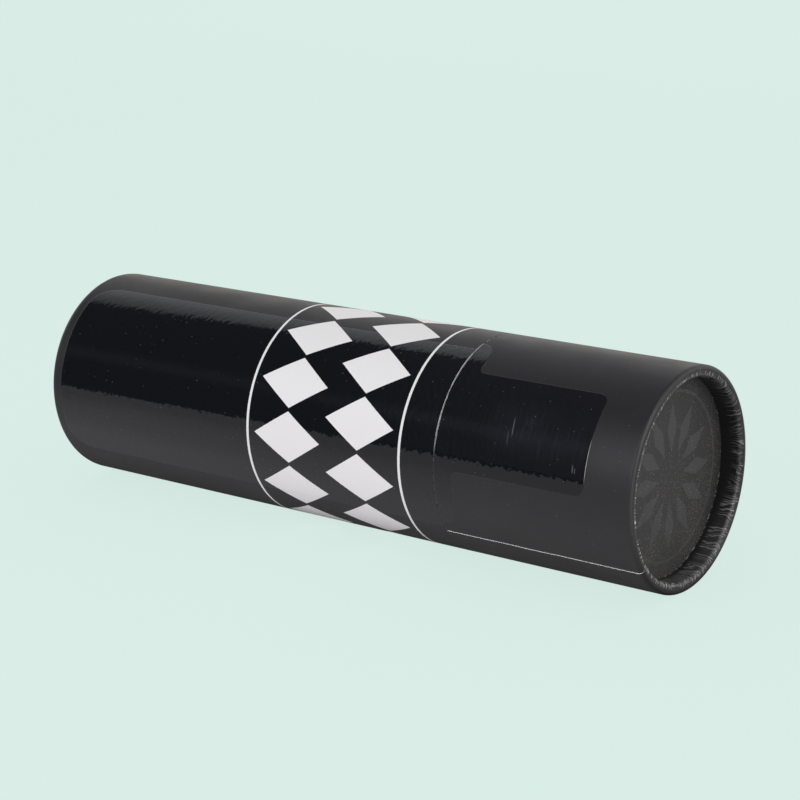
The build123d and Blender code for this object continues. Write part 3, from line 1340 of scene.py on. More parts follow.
@dataclass(frozen=True)
class DiscPaperFinish:
    """Uncoated black paper with a sandy grain, a rosette printed on it tone on tone, and a painted sheen
    towards its front and its foot.
    """

    name: str
    sizes: TubeSizes
    ground_level: float = 0.037
    printed: Colour = grey(0.071, 0.01)
    grit: Colour = grey(0.4, 0.13)
    roughness: float = 0.62
    ior: float = 1.45
    petals: int = 12
    petal_centre: float = 18.5 * MM
    petal_half_length: float = 9.5 * MM
    petal_half_width: float = 3.3 * MM
    ring_radius: float = 31.5 * MM
    ring_width: float = 1.1 * MM
    edge: float = 0.12 * MM
    # Painted sheen: across Y and down from the axis, where the disc is painted paler.
    sheen_across: tuple[float, float] = (-36.0 * MM, 18.0 * MM)
    sheen_down: tuple[float, float] = (0.0, -34.0 * MM)
    gritty_down: tuple[float, float] = (20.0 * MM, -34.0 * MM)
    gritty_radii: tuple[float, float] = (22.0 * MM, 37.0 * MM)
    fine_pitch: float = 0.6 * MM
    fine_radius: float = 0.16 * MM
    coarse_pitch: float = 1.5 * MM
    coarse_radius: float = 0.25 * MM
    fibre_height: float = 0.02 * MM
    wave_height: float = 0.09 * MM
    grit_height: float = 0.03 * MM

    def build(self) -> bpy.types.Material:
        """Builds the material.

        Returns:
            The material.
        """
        material, sketch, shader = new_finish(self.name)
        place = WrapPlace.on(sketch, self.sizes)
        _, y, z = sketch.split(place.solid)
        up = z - self.sizes.axis_height
        fibre = sketch.clouds(place.solid, 700.0, 4.0, 0.65)
        clouding = sketch.clouds(place.solid, 55.0, 3.0, 0.6)
        shade = (fibre * 0.5 + clouding * 0.5).rise(0.3, 0.7)
        level = self.ground_level
        colour = sketch.blend(shade, grey(level * 0.8, 0.02), grey(level * 1.2, 0.03))
        # Painted sheen: the disc is paler towards its front side and its foot, where the light catches it.
        rub_and_sheen = sketch.ranged(y, *self.sheen_across, 0.24, 0.0) + up.rise(*self.sheen_down) * 0.3
        colour = sketch.blend(rub_and_sheen, colour, grey(level * 1.9, 0.02))
        colour = sketch.blend(self._rosette(sketch, place), colour, self.printed)
        heaps = clouding.rise(0.35, 0.62) * 0.8 + 0.2
        gritty = up.rise(*self.gritty_down) * 0.45 + place.radius.rise(*self.gritty_radii) * 0.36
        share = gritty * heaps + 0.05
        flat = sketch.joined(y, up)
        fine = self._grit(sketch, flat, self.fine_pitch, self.fine_radius, share)
        coarse = self._grit(sketch, flat, self.coarse_pitch, self.coarse_radius, share * 0.7)
        grit = fine.at_least(coarse)
        colour = sketch.blend(grit * 0.75, colour, self.grit)
        sketch.feed(shader.inputs["Base Color"], colour)
        rough = sketch.ranged(fibre, 0.2, 0.8, self.roughness + 0.08, self.roughness)
        sketch.feed(shader.inputs["Roughness"], rough)
        shader.inputs["IOR"].default_value = self.ior
        relief = fibre * self.fibre_height + clouding * self.wave_height + grit * self.grit_height
        press(sketch, shader, relief)
        return material

    def _grit(self, sketch: Sketch, flat: Term, pitch: float, radius: float, share: Term) -> Term:
        """Strews grains of one size.

        Args:
            sketch: the sketch of the material's tree.
            flat: the place on the disc, as a vector of two lengths.
            pitch: the mean distance between the grains' places.
            radius: the largest radius of a grain.
            share: the share of the places that holds one.

        Returns:
            How much of a grain there is.
        """
        node = sketch.add("ShaderNodeTexVoronoi", voronoi_dimensions="2D")
        sketch.feed(node.inputs["Vector"], flat)
        node.inputs["Scale"].default_value = 1.0 / pitch
        chance, size, _ = sketch.split(Term(sketch, node.outputs["Color"]))
        near = Term(sketch, node.outputs["Distance"]).rise(radius / pitch, radius / pitch * 0.5)
        return near * sketch.maths("LESS_THAN", chance, share) * (size * 0.7 + 0.3)

    def _rosette(self, sketch: Sketch, place: WrapPlace) -> Term:
        """Draws a ring of narrow lozenges inside a thin ring line.

        Args:
            sketch: the sketch of the material's tree.
            place: the place on the tube.

        Returns:
            1 on the print and 0 beside it.
        """
        sector = FULL_TURN / self.petals
        local = sketch.maths("WRAP", place.angle, sector / 2.0, -sector / 2.0).size() * place.radius
        share = (place.radius - self.petal_centre).size() / self.petal_half_length
        share = share + local / self.petal_half_width
        soft = self.edge / self.petal_half_width
        petal = share.rise(1.0 + soft, 1.0 - soft)
        half_line = self.ring_width / 2.0
        line = (place.radius - self.ring_radius).size().rise(half_line + self.edge, half_line - self.edge)
        return petal.at_least(line)


@dataclass(frozen=True)
class PlainPaperFinish:
    """Plain black paper, as on the neck and inside the tube."""

    name: str
    colour: Colour = grey(0.02)
    fibre_colour: Colour = grey(0.045)
    scuffed: Colour = grey(0.2, 0.03)
    roughness: float = 0.58
    fibre_scale: float = 900.0
    fibre_height: float = 0.016 * MM
    wave_height: float = 0.03 * MM

    def build(self) -> bpy.types.Material:
        """Builds the material.

        Returns:
            The material.
        """
        material, sketch, shader = new_finish(self.name)
        solid = sketch.place()
        fibre = sketch.clouds(solid, self.fibre_scale, 4.0, 0.65)
        clouding = sketch.clouds(solid, 70.0, 3.0, 0.6)
        shade = (fibre * 0.6 + clouding * 0.4).rise(0.35, 0.75)
        colour = sketch.blend(shade, self.colour, self.fibre_colour)
        scuffs = sketch.clouds(sketch.stretched(solid, (0.2, 1.0, 1.0)), 500.0, 2.0, 0.7).rise(0.62, 0.78)
        colour = sketch.blend(scuffs * 0.25, colour, self.scuffed)
        sketch.feed(shader.inputs["Base Color"], colour)
        rough = sketch.ranged(fibre, 0.2, 0.8, self.roughness + 0.1, self.roughness)
        sketch.feed(shader.inputs["Roughness"], rough)
        press(sketch, shader, fibre * self.fibre_height + clouding * self.wave_height)
        return material


@dataclass(frozen=True)
class GreyboardFinish:
    """Rolled greyboard: mottled recycled fibre, in thin layers that show where it is cut."""

    name: str
    sizes: TubeSizes
    light: Colour = (0.36, 0.325, 0.275, 1.0)
    dark: Colour = (0.2, 0.18, 0.15, 1.0)
    seam: Colour = grey(0.11, 0.1)
    fleck: Colour = grey(0.06, 0.1)
    layer_thickness: float = 0.45 * MM
    roughness: float = 0.86
    fibre_height: float = 0.05 * MM
    seam_depth: float = 0.04 * MM

    def build(self) -> bpy.types.Material:
        """Builds the material.

        Returns:
            The material.
        """
        material, sketch, shader = new_finish(self.name)
        place = WrapPlace.on(sketch, self.sizes)
        fibre = sketch.clouds(sketch.stretched(place.solid, (0.5, 1.0, 1.0)), 850.0, 4.0, 0.7)
        wander = sketch.clouds(place.solid, 240.0, 2.0, 0.5)
        layer = sketch.maths("FRACT", place.radius / self.layer_thickness + wander * 0.8)
        seam = layer.rise(0.18, 0.04).at_least(layer.rise(0.86, 0.98))
        colour = sketch.blend(fibre.rise(0.3, 0.7), self.dark, self.light)
        colour = sketch.blend(seam * 0.55, colour, self.seam)
        flecks = sketch.clouds(place.solid, 1500.0, 2.0, 0.6).rise(0.66, 0.74)
        colour = sketch.blend(flecks * 0.6, colour, self.fleck)
        sketch.feed(shader.inputs["Base Color"], colour)
        rough = sketch.ranged(fibre, 0.2, 0.8, self.roughness + 0.08, self.roughness)
        sketch.feed(shader.inputs["Roughness"], rough)
        press(sketch, shader, fibre * self.fibre_height - seam * self.seam_depth)
        return material


@dataclass(frozen=True)
class GlueFinish:
    """Dried glue, clear and shiny with a milky cast."""

    name: str
    clear: Colour = grey(0.12)
    milky: Colour = grey(0.42)
    roughness: float = 0.18
    cast_height: float = 0.02 * MM

    def build(self) -> bpy.types.Material:
        """Builds the material.

        Returns:
            The material.
        """
        material, sketch, shader = new_finish(self.name)
        cast = sketch.clouds(sketch.place(), 1200.0, 2.0, 0.6)
        sketch.feed(shader.inputs["Base Color"], sketch.blend(cast, self.clear, self.milky))
        rough = sketch.ranged(cast, 0.3, 0.7, self.roughness, self.roughness + 0.2)
        sketch.feed(shader.inputs["Roughness"], rough)
        press(sketch, shader, cast * self.cast_height)
        return material


# Sub-assemblies


def set_down(piece: bpy.types.Object, body: Body, slot: Slot, *nodes: str) -> bpy.types.Object:
    """Gives a piece to its body, in place of the nodes that it stands for.

    Args:
        piece: the piece.
        body: the body that it rides on.
        slot: its material slot; not used.
        nodes: the names of the nodes that it replaces.

    Returns:
        The piece.
    """
    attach(piece, body.value)
    if nodes:
        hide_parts(*nodes)
    stands_for = ", ".join(nodes) or "itself"
    LOG.info("%s: %d triangles on %s, for %s", piece.name, triangles(piece), body.value, stands_for)
    return piece


def dress(node: str, material: bpy.types.Material) -> None:
    """Gives one of the frame's own nodes a finish.

    Args:
        node: the node's name.
        material: the finish.
    """
    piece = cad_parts[node]
    piece.data.materials.clear()
    piece.data.materials.append(material)
    LOG.info("%s: the frame's own, in %s", node, material.name)


@dataclass(frozen=True)
class RolledWrap:
    """The printed paper of one part: along its wall, over its rolled end and down inside.

    Its rings lie at gaps from the mouth, at shares of the wall, just before the rim, and round the rim.
    """

    sizes: TubeSizes
    name: str
    body: Body
    node: str
    end: float
    mouth: float
    disc_face: float
    outer_round_share: float
    inner_round_share: float
    lap_deg: float
    seed: float
    wall_segments: int = 768
    rim_segments: int = 2304
    pleats: float = 112.0
    wrinkles: float = 196.0
    pleat_depth: float = 0.17 * MM
    wrinkle_depth: float = 0.04 * MM
    rise_depth: float = 0.19 * MM
    pleat_start_share: float = 0.45
    nick_depth: float = 0.07 * MM
    lap_width: float = 12.0 * MM
    lap_height_share: float = 0.85
    lap_stray: float = 0.25 * MM
    lap_stray_pitch: float = 14.0 * MM
    lap_steps: int = 44
    lap_bends_deg: range = range(8, 81, 8)
    mouth_corner: float = 0.05 * MM
    mouth_gaps: tuple[float, ...] = (0.3 * MM, 1.0 * MM, 4.0 * MM)
    wall_shares: tuple[float, ...] = (0.25, 0.5, 0.75, 0.95)
    before_rim: float = 0.3 * MM
    crest_shares: tuple[float, ...] = (0.34, 0.67)
    lip_shares: tuple[float, ...] = (0.12, 0.26, 0.42, 0.6, 0.8, 1.0)
    shown_steps: int = 8
    hidden_steps: int = 3

    @property
    def inward(self) -> float:
        """The way from the rolled end to the mouth, as 1 or -1."""
        return math.copysign(1.0, self.mouth - self.end)

    @property
    def outer_round(self) -> float:
        """The radius of the rolled end's outer rounding."""
        return self.sizes.curl_width * self.outer_round_share

    def at(self, depth: float) -> float:
        """A place along the axis, by its depth inside the rolled end."""
        return self.end + self.inward * depth

    def rim_profile(self, thickness: float, steps: int, crest_shares: Sequence[float] = ()) -> list[Point]:
        """Draws the rolled end's outline, from the wall over the rim and down to the disc.

        Args:
            thickness: how far the outline lies inside the paper's shown side.
            steps: how many parts each rounding has.
            crest_shares: where it has points on the flat crest between the roundings.

        Returns:
            Its points, each a depth and a radius.
        """
        sizes = self.sizes
        outer = self.outer_round
        inner = sizes.curl_width * self.inner_round_share
        lip = sizes.curl_inner_radius
        lip_end = abs(self.disc_face - self.end)
        points = arc_stations((outer, sizes.radius - outer), outer - thickness, 90.0, 180.0, steps)
        crest = spread(sizes.radius - outer, lip + inner, crest_shares)
        points += [(thickness, radius) for radius in crest]
        points += arc_stations((inner, lip + inner), inner - thickness, 180.0, 270.0, steps)
        points += [(depth, lip + thickness) for depth in spread(inner, lip_end, self.lip_shares)]
        return points

    def wrap(self) -> bpy.types.Object:
        """Builds the closed mesh of the wrap and its lap.

        Returns:
            The piece, plain and without a finish.
        """
        sizes = self.sizes
        wall = abs(self.mouth - self.end)
        mesh = RingMesh(self.name, sizes.axis_height)
        outer = self.outer_round
        corner = self.mouth_corner

        def nick(angle: float) -> float:
            """Wears the cut edge of the mouth back.

            Args:
                angle: where on the edge.

            Returns:
                How far it is worn back there, along the axis.
            """
            where = Vector((math.cos(angle), math.sin(angle), self.seed)) * 11.0
            wear_and_glint = max(0.0, noise.fractal(where * 3.0, 0.7, 2.0, 3)) * self.nick_depth
            return -self.inward * wear_and_glint

        mesh.ring(Station(self.at(wall), sizes.radius - corner), self.wall_segments, nick)
        mesh.ring(Station(self.at(wall - corner), sizes.radius), self.wall_segments, nick)
        for gap in self.mouth_gaps:
            mesh.ring(Station(self.at(wall - gap), sizes.radius), self.wall_segments)
        for depth in spread(wall - self.mouth_gaps[-1], outer + 2.0 * self.before_rim, self.wall_shares):
            mesh.ring(Station(self.at(depth), sizes.radius), self.wall_segments)
        mesh.ring(Station(self.at(outer + self.before_rim), sizes.radius), self.rim_segments)
        for depth, radius in self.rim_profile(0.0, self.shown_steps, self.crest_shares):
            mesh.ring(Station(self.at(depth), radius), self.rim_segments)
        for depth, radius in self.rim_profile(sizes.wrap_thickness, self.hidden_steps)[::-1]:
            mesh.ring(Station(self.at(depth), radius, 0.0), self.wall_segments)
        mesh.ring(Station(self.at(wall), sizes.board_radius, 0.0), self.wall_segments, nick)
        mesh.close()
        self._lap(mesh)
        return mesh.finish()

    def _lap(self, mesh: RingMesh) -> None:
        """Adds the outer layer of paper at the lap, from the mouth to the rolled end's outer rounding.

        Args:
            mesh: the mesh of the wrap.
        """
        sizes = self.sizes
        outer = self.outer_round
        wall = abs(self.mouth - self.end)
        proud = sizes.wrap_thickness * self.lap_height_share
        bed = -0.2 * proud
        profile = (
            (0.0, bed, 1.0),
            (0.0, proud * 0.86, 1.0),
            (0.02 * MM, proud, 0.9),
            (0.06 * MM, proud, 0.0),
            (0.4 * MM, proud, 0.0),
            (self.lap_width * 0.55, proud, 0.0),
            (self.lap_width * 0.8, proud * 0.55, 0.0),
            (self.lap_width, bed, 0.0),
        )
        shares = [k / self.lap_steps for k in range(self.lap_steps + 1)]
        straight = [(depth, 0.0) for depth in spread(wall, outer, shares)]
        bends = [(outer * (1.0 - math.sin(a)), a) for a in np.radians(self.lap_bends_deg)]
        sections = []
        for depth, bend in straight + bends:
            radius = sizes.radius - outer * (1.0 - math.cos(bend))
            fade = 1.0 - math.sin(bend) ** 2
            stray = self.lap_stray * noise.noise(Vector((depth / self.lap_stray_pitch, self.seed, 0.0)))
            section = []
            for arc, height, wear_and_glint in profile:
                lift = height * fade if height > 0.0 else height
                angle = math.radians(self.lap_deg) + (arc + stray) / sizes.radius
                section.append((depth - lift * math.sin(bend), radius + lift * math.cos(bend), angle, wear_and_glint))
            sections.append([(self.at(d), r, a, w) for d, r, a, w in section])
        mesh.loft(sections)

    def build(self, finish: bpy.types.Material, pleats: PleatTree) -> bpy.types.Object:
        """Builds the wrap with its pleats and its lap, and sets it down in place of its node.

        Args:
            finish: its finish.
            pleats: the tree that draws the pleats.

        Returns:
            The piece.
        """
        piece = self.wrap()
        pleats.pleat(
            piece,
            finish,
            Rim_Place=self.end,
            Inward=self.inward,
            Axis_Height=self.sizes.axis_height,
            Outer_Radius=self.sizes.radius,
            Curl_Width=self.sizes.curl_width,
            Pleats=self.pleats,
            Wrinkles=self.wrinkles,
            Pleat_Depth=self.pleat_depth,
            Wrinkle_Depth=self.wrinkle_depth,
            Rise_Depth=self.rise_depth,
            Start_Share=self.pleat_start_share,
            Seed=self.seed,
        )
        return set_down(piece, self.body, Slot.PRINT, self.node)


@dataclass(frozen=True)
class DiscPaper:
    """The paper over one disc, its edge turned down round the board."""

    sizes: TubeSizes
    name: str
    body: Body
    node: str
    face: float
    back: float
    segments: int = 384
    edge_round: float = 0.12 * MM

    def build(self, finish: bpy.types.Material) -> bpy.types.Object:
        """Builds the closed cup of paper and sets it down in place of its node.

        Args:
            finish: its finish.

        Returns:
            The piece.
        """
        sizes = self.sizes
        thickness = sizes.cover_thickness
        inward = math.copysign(1.0, self.back - self.face)
        mesh = RingMesh(self.name, sizes.axis_height)
        round_centre = sizes.disc_paper_radius - self.edge_round
        for share in (0.04, 0.15, 0.3, 0.5, 0.7, 0.88, 0.97):
            mesh.ring(Station(self.face, round_centre * share), self.segments)
        for depth, radius in arc_stations((self.edge_round, round_centre), self.edge_round, 180.0, 90.0, 3):
            mesh.ring(Station(self.face + inward * depth, radius), self.segments)
        mesh.ring(Station(self.back, sizes.disc_paper_radius), self.segments)
        mesh.ring(Station(self.back, sizes.disc_radius), self.segments)
        mesh.ring(Station(self.face + inward * thickness, sizes.disc_radius), self.segments)
        mesh.ring(Station(self.face + inward * thickness, sizes.disc_radius / 2.0), self.segments)
        mesh.cap_last(self.face + inward * thickness)
        mesh.cap_first(self.face)
        piece = mesh.finish()
        piece.data.materials.append(finish)
        return set_down(piece, self.body, Slot.DISC, self.node)


@dataclass(frozen=True)
class LiningDisc:
    """A disc of paper on the inner face of an end."""

    sizes: TubeSizes
    name: str
    body: Body
    node: str
    board_side: float
    room_side: float
    segments: int = 256

    def build(self, finish: bpy.types.Material) -> bpy.types.Object:
        """Builds the closed disc and sets it down in place of its node.

        Args:
            finish: its finish.

        Returns:
            The piece.
        """
        mesh = RingMesh(self.name, self.sizes.axis_height)
        radius = self.sizes.disc_radius
        for share in (0.1, 0.4, 0.7, 0.9, 0.998):
            mesh.ring(Station(self.room_side, radius * share), self.segments)
        mesh.ring(Station(self.room_side + (self.board_side - self.room_side) * 0.3, radius), self.segments)
        mesh.ring(Station(self.board_side, radius), self.segments)
        mesh.ring(Station(self.board_side, radius / 2.0), self.segments)
        mesh.cap_last(self.board_side)
        mesh.cap_first(self.room_side)
        piece = mesh.finish()
        piece.data.materials.append(finish)
        return set_down(piece, self.body, Slot.LINING, self.node)


@dataclass(frozen=True)
class PaperSleeve:
    """A round sleeve of paper, with the rounding of its cut edges."""

    sizes: TubeSizes
    name: str
    body: Body
    slot: Slot
    node: str
    near: float
    far: float
    inner: float
    outer: float
    segments: int = 512

    def build(self, finish: bpy.types.Material) -> bpy.types.Object:
        """Builds the closed sleeve and sets it down in place of its node.

        Args:
            finish: its finish.

        Returns:
            The piece.
        """
        mesh = RingMesh(self.name, self.sizes.axis_height)
        ease = (self.outer - self.inner) * 0.2
        way = math.copysign(ease, self.far - self.near)
        path = (
            (self.near, self.inner + ease),
            (self.near + way, self.inner),
            (self.near + way * 8.0, self.inner),
            (self.far - way * 8.0, self.inner),
            (self.far - way, self.inner),
            (self.far, self.inner + ease),
            (self.far, self.outer - ease),
            (self.far - way, self.outer),
            (self.near + way, self.outer),
            (self.near, self.outer - ease),
        )
        for along, radius in path:
            mesh.ring(Station(along, radius), self.segments)
        mesh.close()
        piece = mesh.finish()
        piece.data.materials.append(finish)
        return set_down(piece, self.body, self.slot, self.node)


@dataclass(frozen=True)
class NeckCover:
    """The paper round the neck, folded over its mouth and pasted down inside."""

    sizes: TubeSizes
    name: str = "neck_paper_cover"
    segments: int = 768
    fold_round: float = 0.55 * MM

    def build(self, finish: bpy.types.Material) -> bpy.types.Object:
        """Builds the closed fold of paper and sets it down in place of its node.

        Args:
            finish: its finish.

        Returns:
            The piece.
        """
        sizes = self.sizes
        mesh = RingMesh(self.name, sizes.axis_height)
        outer = sizes.neck_cover_radius
        inner = sizes.neck_bore_radius
        mouth = sizes.neck_mouth
        thickness = sizes.cover_thickness
        fold = self.fold_round

        def ring(along: float, radius: float) -> None:
            """Adds a ring of the neck."""
            mesh.ring(Station(along, radius), self.segments)

        ring(sizes.cavity_floor, outer)
        for share in (0.3, 0.6, 0.9):
            ring(sizes.cavity_floor + (mouth - fold - sizes.cavity_floor) * share, outer)
        for depth, radius in arc_stations((fold, outer - fold), fold, 90.0, 180.0, 6):
            ring(mouth - depth, radius)
        for depth, radius in arc_stations((fold, inner + fold), fold, 180.0, 270.0, 6):
            ring(mouth - depth, radius)
        for share in (0.5, 0.97, 1.0):
            ring(mouth - fold + (sizes.neck_turn_in_end - mouth + fold) * share, inner)
        ring(sizes.neck_turn_in_end, sizes.neck_lining_radius)
        ring(mouth - thickness, sizes.neck_lining_radius)
        ring(mouth - thickness, sizes.neck_board_radius)
        ring(sizes.cavity_floor, sizes.neck_board_radius)
        mesh.close()
        piece = mesh.finish()
        piece.data.materials.append(finish)
        return set_down(piece, Body.BODY, Slot.NECK, "neck_cover")


@dataclass(frozen=True)
class GlueBeads:
    """Beads of dried glue that were pressed out where a disc meets the lip of its rim."""

    sizes: TubeSizes
    name: str
    body: Body
    face: float
    outward: float
    from_deg: float
    to_deg: float
    seed: int
    beads: int = 46
    stray_beads: int = 14
    radius: float = 0.34 * MM

    def build(self, finish: bpy.types.Material, tree: BeadTree) -> bpy.types.Object:
        """Strews the beads along the disc's edge, denser over one stretch.

        Args:
            finish: their finish.
            tree: the tree that makes a bead of each point.

        Returns:
            The piece.
        """
        chance = np.random.default_rng(self.seed)
        middle = math.radians((self.from_deg + self.to_deg) / 2.0)
        half = math.radians((self.to_deg - self.from_deg) / 2.0)
        dense = middle + half * (chance.random(self.beads) + chance.random(self.beads) - 1.0)
        angles = np.concatenate([dense, chance.random(self.stray_beads) * FULL_TURN])
        radii = self.sizes.curl_inner_radius - self.radius * (0.4 + 1.8 * chance.random(len(angles)) ** 3)
        along = self.face + self.outward * self.radius * 0.12
        points = [
            (along, -radius * math.sin(angle), self.sizes.axis_height + radius * math.cos(angle))
            for angle, radius in zip(angles, radii)
        ]
        mesh = bpy.data.meshes.new(self.name)
        mesh.from_pydata(points, [], [])
        piece = linked(self.name, mesh)
        tree.strew(piece, finish, self.radius, self.seed)
        return set_down(piece, self.body, Slot.DISC)


# Studio


@dataclass(frozen=True)
class PhotoCamera:
    """The camera of the reference view, fitted to the tube's outline and seam."""

    place: tuple[float, float, float] = (0.50679, -0.66968, 0.26902)
    down_deg: float = 14.604
    turn_deg: float = 36.564
    lens_mm: float = 99.18
    sensor_mm: float = 36.0

    def build(self) -> None:
        """Makes the camera and gives it to the scene."""
        data = bpy.data.cameras.new("photo_camera")
        data.lens = self.lens_mm
        data.sensor_width = self.sensor_mm
        data.clip_start = 0.01
        data.clip_end = 60.0
        camera = bpy.data.objects.new("photo_camera", data)
        camera.location = self.place
        camera.rotation_euler = (math.radians(90.0 - self.down_deg), 0.0, math.radians(self.turn_deg))
        bpy.context.scene.collection.objects.link(camera)
        bpy.context.scene.camera = camera


@dataclass(frozen=True)
class LightSheet:
    """A flat sheet of the studio that glows evenly, or that stands dark in reflections."""

    name: str
    corners: tuple[tuple[float, float, float], ...]
    colour: Colour
    only_reflected: bool = True

    def build(self) -> None:
        """Makes the sheet, which the camera doesn't see."""
        material, _, glow = glowing(self.name)
        glow.inputs["Color"].default_value = self.colour
        sheet = staged(self.name, self.corners, [tuple(range(len(self.corners)))], material)
        hide_sheet(sheet, self.only_reflected)


def oblong(across: tuple[float, float], up: tuple[float, float]) -> tuple[Point, ...]:
    """The corners of an upright rectangle, in turn."""
    return (across[0], up[0]), (across[1], up[0]), (across[1], up[1]), (across[0], up[1])


def glowing(name: str) -> tuple[bpy.types.Material, Sketch, bpy.types.Node]:
    """Makes a material that gives light of its own.

    Args:
        name: its name.

    Returns:
        The material, the sketch of its tree and its emission node.
    """
    material = bpy.data.materials.new(name)
    material.use_nodes = True
    material.node_tree.nodes.clear()
    sketch = Sketch(material.node_tree)
    glow = sketch.add("ShaderNodeEmission")
    output = sketch.add("ShaderNodeOutputMaterial")
    material.node_tree.links.new(glow.outputs[0], output.inputs["Surface"])
    return material, sketch, glow


def staged(
    name: str,
    points: Sequence[tuple[float, float, float]],
    faces: Sequence[tuple[int, ...]],
    material: bpy.types.Material,
) -> bpy.types.Object:
    """Makes a mesh of the studio, which isn't part of the tube.

    Args:
        name: its name.
        points: its points.
        faces: its faces, as the numbers of their points.
        material: its material.

    Returns:
        The mesh's object.
    """
    mesh = bpy.data.meshes.new(name)
    mesh.from_pydata(list(points), [], list(faces))
    mesh.materials.append(material)
    sheet = linked(name, mesh)
    return sheet


def hide_sheet(sheet: bpy.types.Object, only_reflected: bool) -> None:
    """Hides a sheet from the camera and, if it only shows in reflections, from the matte surfaces.

    Args:
        sheet: the sheet.
        only_reflected: whether it gives no light to matte surfaces.
    """
    sheet.visible_camera = False
    sheet.visible_shadow = False
    sheet.visible_diffuse = not only_reflected


@dataclass(frozen=True)
class Studio:
    """A pale floor and surround, a soft box above and behind, and a dark screen in front for the gloss.

    The camera sees the floor and the surround pale. The tube is lit by neutral ones, and a painted shadow
    dims the floor's light under it, where the tube itself would keep the light away.
    """

    sizes: TubeSizes
    pale: Colour = (0.7011, 0.8469, 0.7991, 1.0)
    floor_half: float = 14.0
    floor_glow_share: float = 0.91
    floor_lit_share: float = 0.12
    floor_light: float = 0.78
    floor_light_colour: Colour = (1.0, 0.985, 1.03, 1.0)
    contact_half_length: float = 0.15
    contact_near: tuple[float, float] = (8.0 * MM, 57.0 * MM)
    contact_far: tuple[float, float] = (75.0 * MM, 200.0 * MM)
    surround_light: float = 0.6
    surround_gloss: Colour = (1.15, 1.09, 1.02, 1.0)
    soft_box_height: float = 1.15
    soft_box_near: float = -0.282
    soft_box_slope: float = 0.4647
    soft_box_back: float = 2.5
    soft_box_colour: Colour = (0.97, 0.98, 1.04, 1.0)
    soft_box_half_length: float = 2.0
    soft_box_base: float = 0.27
    soft_box_gain: float = 0.77
    soft_box_least: float = 0.2
    soft_box_most: float = 0.73
    soft_box_dip_from: float = 0.65
    soft_box_dip: float = 0.47
    soft_box_rise_from: float = 1.45
    soft_box_rise: float = 1.9
    screen_radius: float = 1.5
    screen_half_length: float = 2.6
    screen_top_deg: float = -32.0
    screen_foot_height: float = 0.002
    screen_steps: int = 32
    screen_colour: Colour = (0.055, 0.053, 0.072, 1.0)
    lid_screen_colour: Colour = (0.13, 0.122, 0.16, 1.0)
    lid_screen_along: tuple[float, float] = (-1.15, -0.75)
    haze_colour: Colour = (0.2, 0.2, 0.26, 1.0)
    haze_deg: float = 60.0
    haze_half_deg: float = 11.0
    haze_drift_deg: float = 9.0
    apron: tuple[Point, ...] = (
        (-2.6, 0.1),
        (-0.45, 0.1),
        (-0.31, -0.253),
        (-0.19, -0.55),
        (1.5, -0.55),
        (2.6, -1.5),
        (-2.6, -1.5),
    )
    lamp_place: tuple[float, float, float] = (-0.12, -1.21, 0.63)
    lamp_half_width: float = 0.35
    lamp_half_height: float = 0.3
    lamp_colour: Colour = (4.2, 4.3, 4.7, 1.0)
    card_height: float = 0.003
    floor_card: tuple[Point, ...] = oblong((0.18, 0.6), (0.03, 0.6))
    floor_card_light: float = 0.42
    low_card: tuple[Point, ...] = oblong((0.2, 0.42), (-0.25, 0.0))
    low_card_light: float = 1.5
    end_card_place: float = 0.75
    end_card: tuple[Point, ...] = oblong((-0.6, 0.15), (0.1, 1.35))
    end_card_light: float = 2.6

    def build(self) -> None:
        """Makes the world, the floor, the soft box, the screen, the front lamp and the cards."""
        self._world()
        self._floor()
        self._soft_box()
        self._screen()
        self._lamp()
        self._cards()
        bpy.context.scene.view_settings.view_transform = "Standard"

    def _world(self) -> None:
        """A pale surround for the camera, a neutral one for reflections, and a softer light from it."""
        world = bpy.data.worlds.new("surround")
        bpy.context.scene.world = world
        world.use_nodes = True
        world.node_tree.nodes.clear()
        sketch = Sketch(world.node_tree)
        path = sketch.add("ShaderNodeLightPath")
        through = Term(sketch, path.outputs["Is Camera Ray"])
        through = through.at_least(Term(sketch, path.outputs["Is Transmission Ray"]))
        reflected = Term(sketch, path.outputs["Is Glossy Ray"])
        colour = sketch.blend(reflected, grey(self.surround_light), self.surround_gloss)
        colour = sketch.blend(through, colour, self.pale)
        surround = sketch.add("ShaderNodeBackground")
        sketch.feed(surround.inputs["Color"], colour)
        output = sketch.add("ShaderNodeOutputWorld")
        world.node_tree.links.new(surround.outputs[0], output.inputs["Surface"])

    def _floor(self) -> None:
        """The pale floor, which glows a little for an even tone and keeps the tube's soft shadow."""
        material, sketch, glow = glowing("pale_floor")
        glow.inputs["Color"].default_value = self.pale
        glow.inputs["Strength"].default_value = self.floor_glow_share
        cloth = sketch.add("ShaderNodeBsdfDiffuse")
        red, green, blue = (level * self.floor_lit_share for level in self.pale[:3])
        cloth.inputs["Color"].default_value = (red, green, blue, 1.0)
        seen = sketch.add("ShaderNodeAddShader")
        neutral = sketch.add("ShaderNodeEmission")
        neutral.inputs["Color"].default_value = self.floor_light_colour
        sketch.feed(neutral.inputs["Strength"], self._contact_shade(sketch) * self.floor_light)
        both = sketch.add("ShaderNodeMixShader")
        path = sketch.add("ShaderNodeLightPath")
        output = material.node_tree.nodes["Material Output"]
        links = material.node_tree.links
        links.new(glow.outputs[0], seen.inputs[0])
        links.new(cloth.outputs[0], seen.inputs[1])
        links.new(path.outputs["Is Camera Ray"], both.inputs[0])
        links.new(neutral.outputs[0], both.inputs[1])
        links.new(seen.outputs[0], both.inputs[2])
        links.new(both.outputs[0], output.inputs["Surface"])
        half = self.floor_half
        corners = ((-half, -half, 0.0), (half, -half, 0.0), (half, half, 0.0), (-half, half, 0.0))
        staged("floor", corners, [(0, 1, 2, 3)], material)

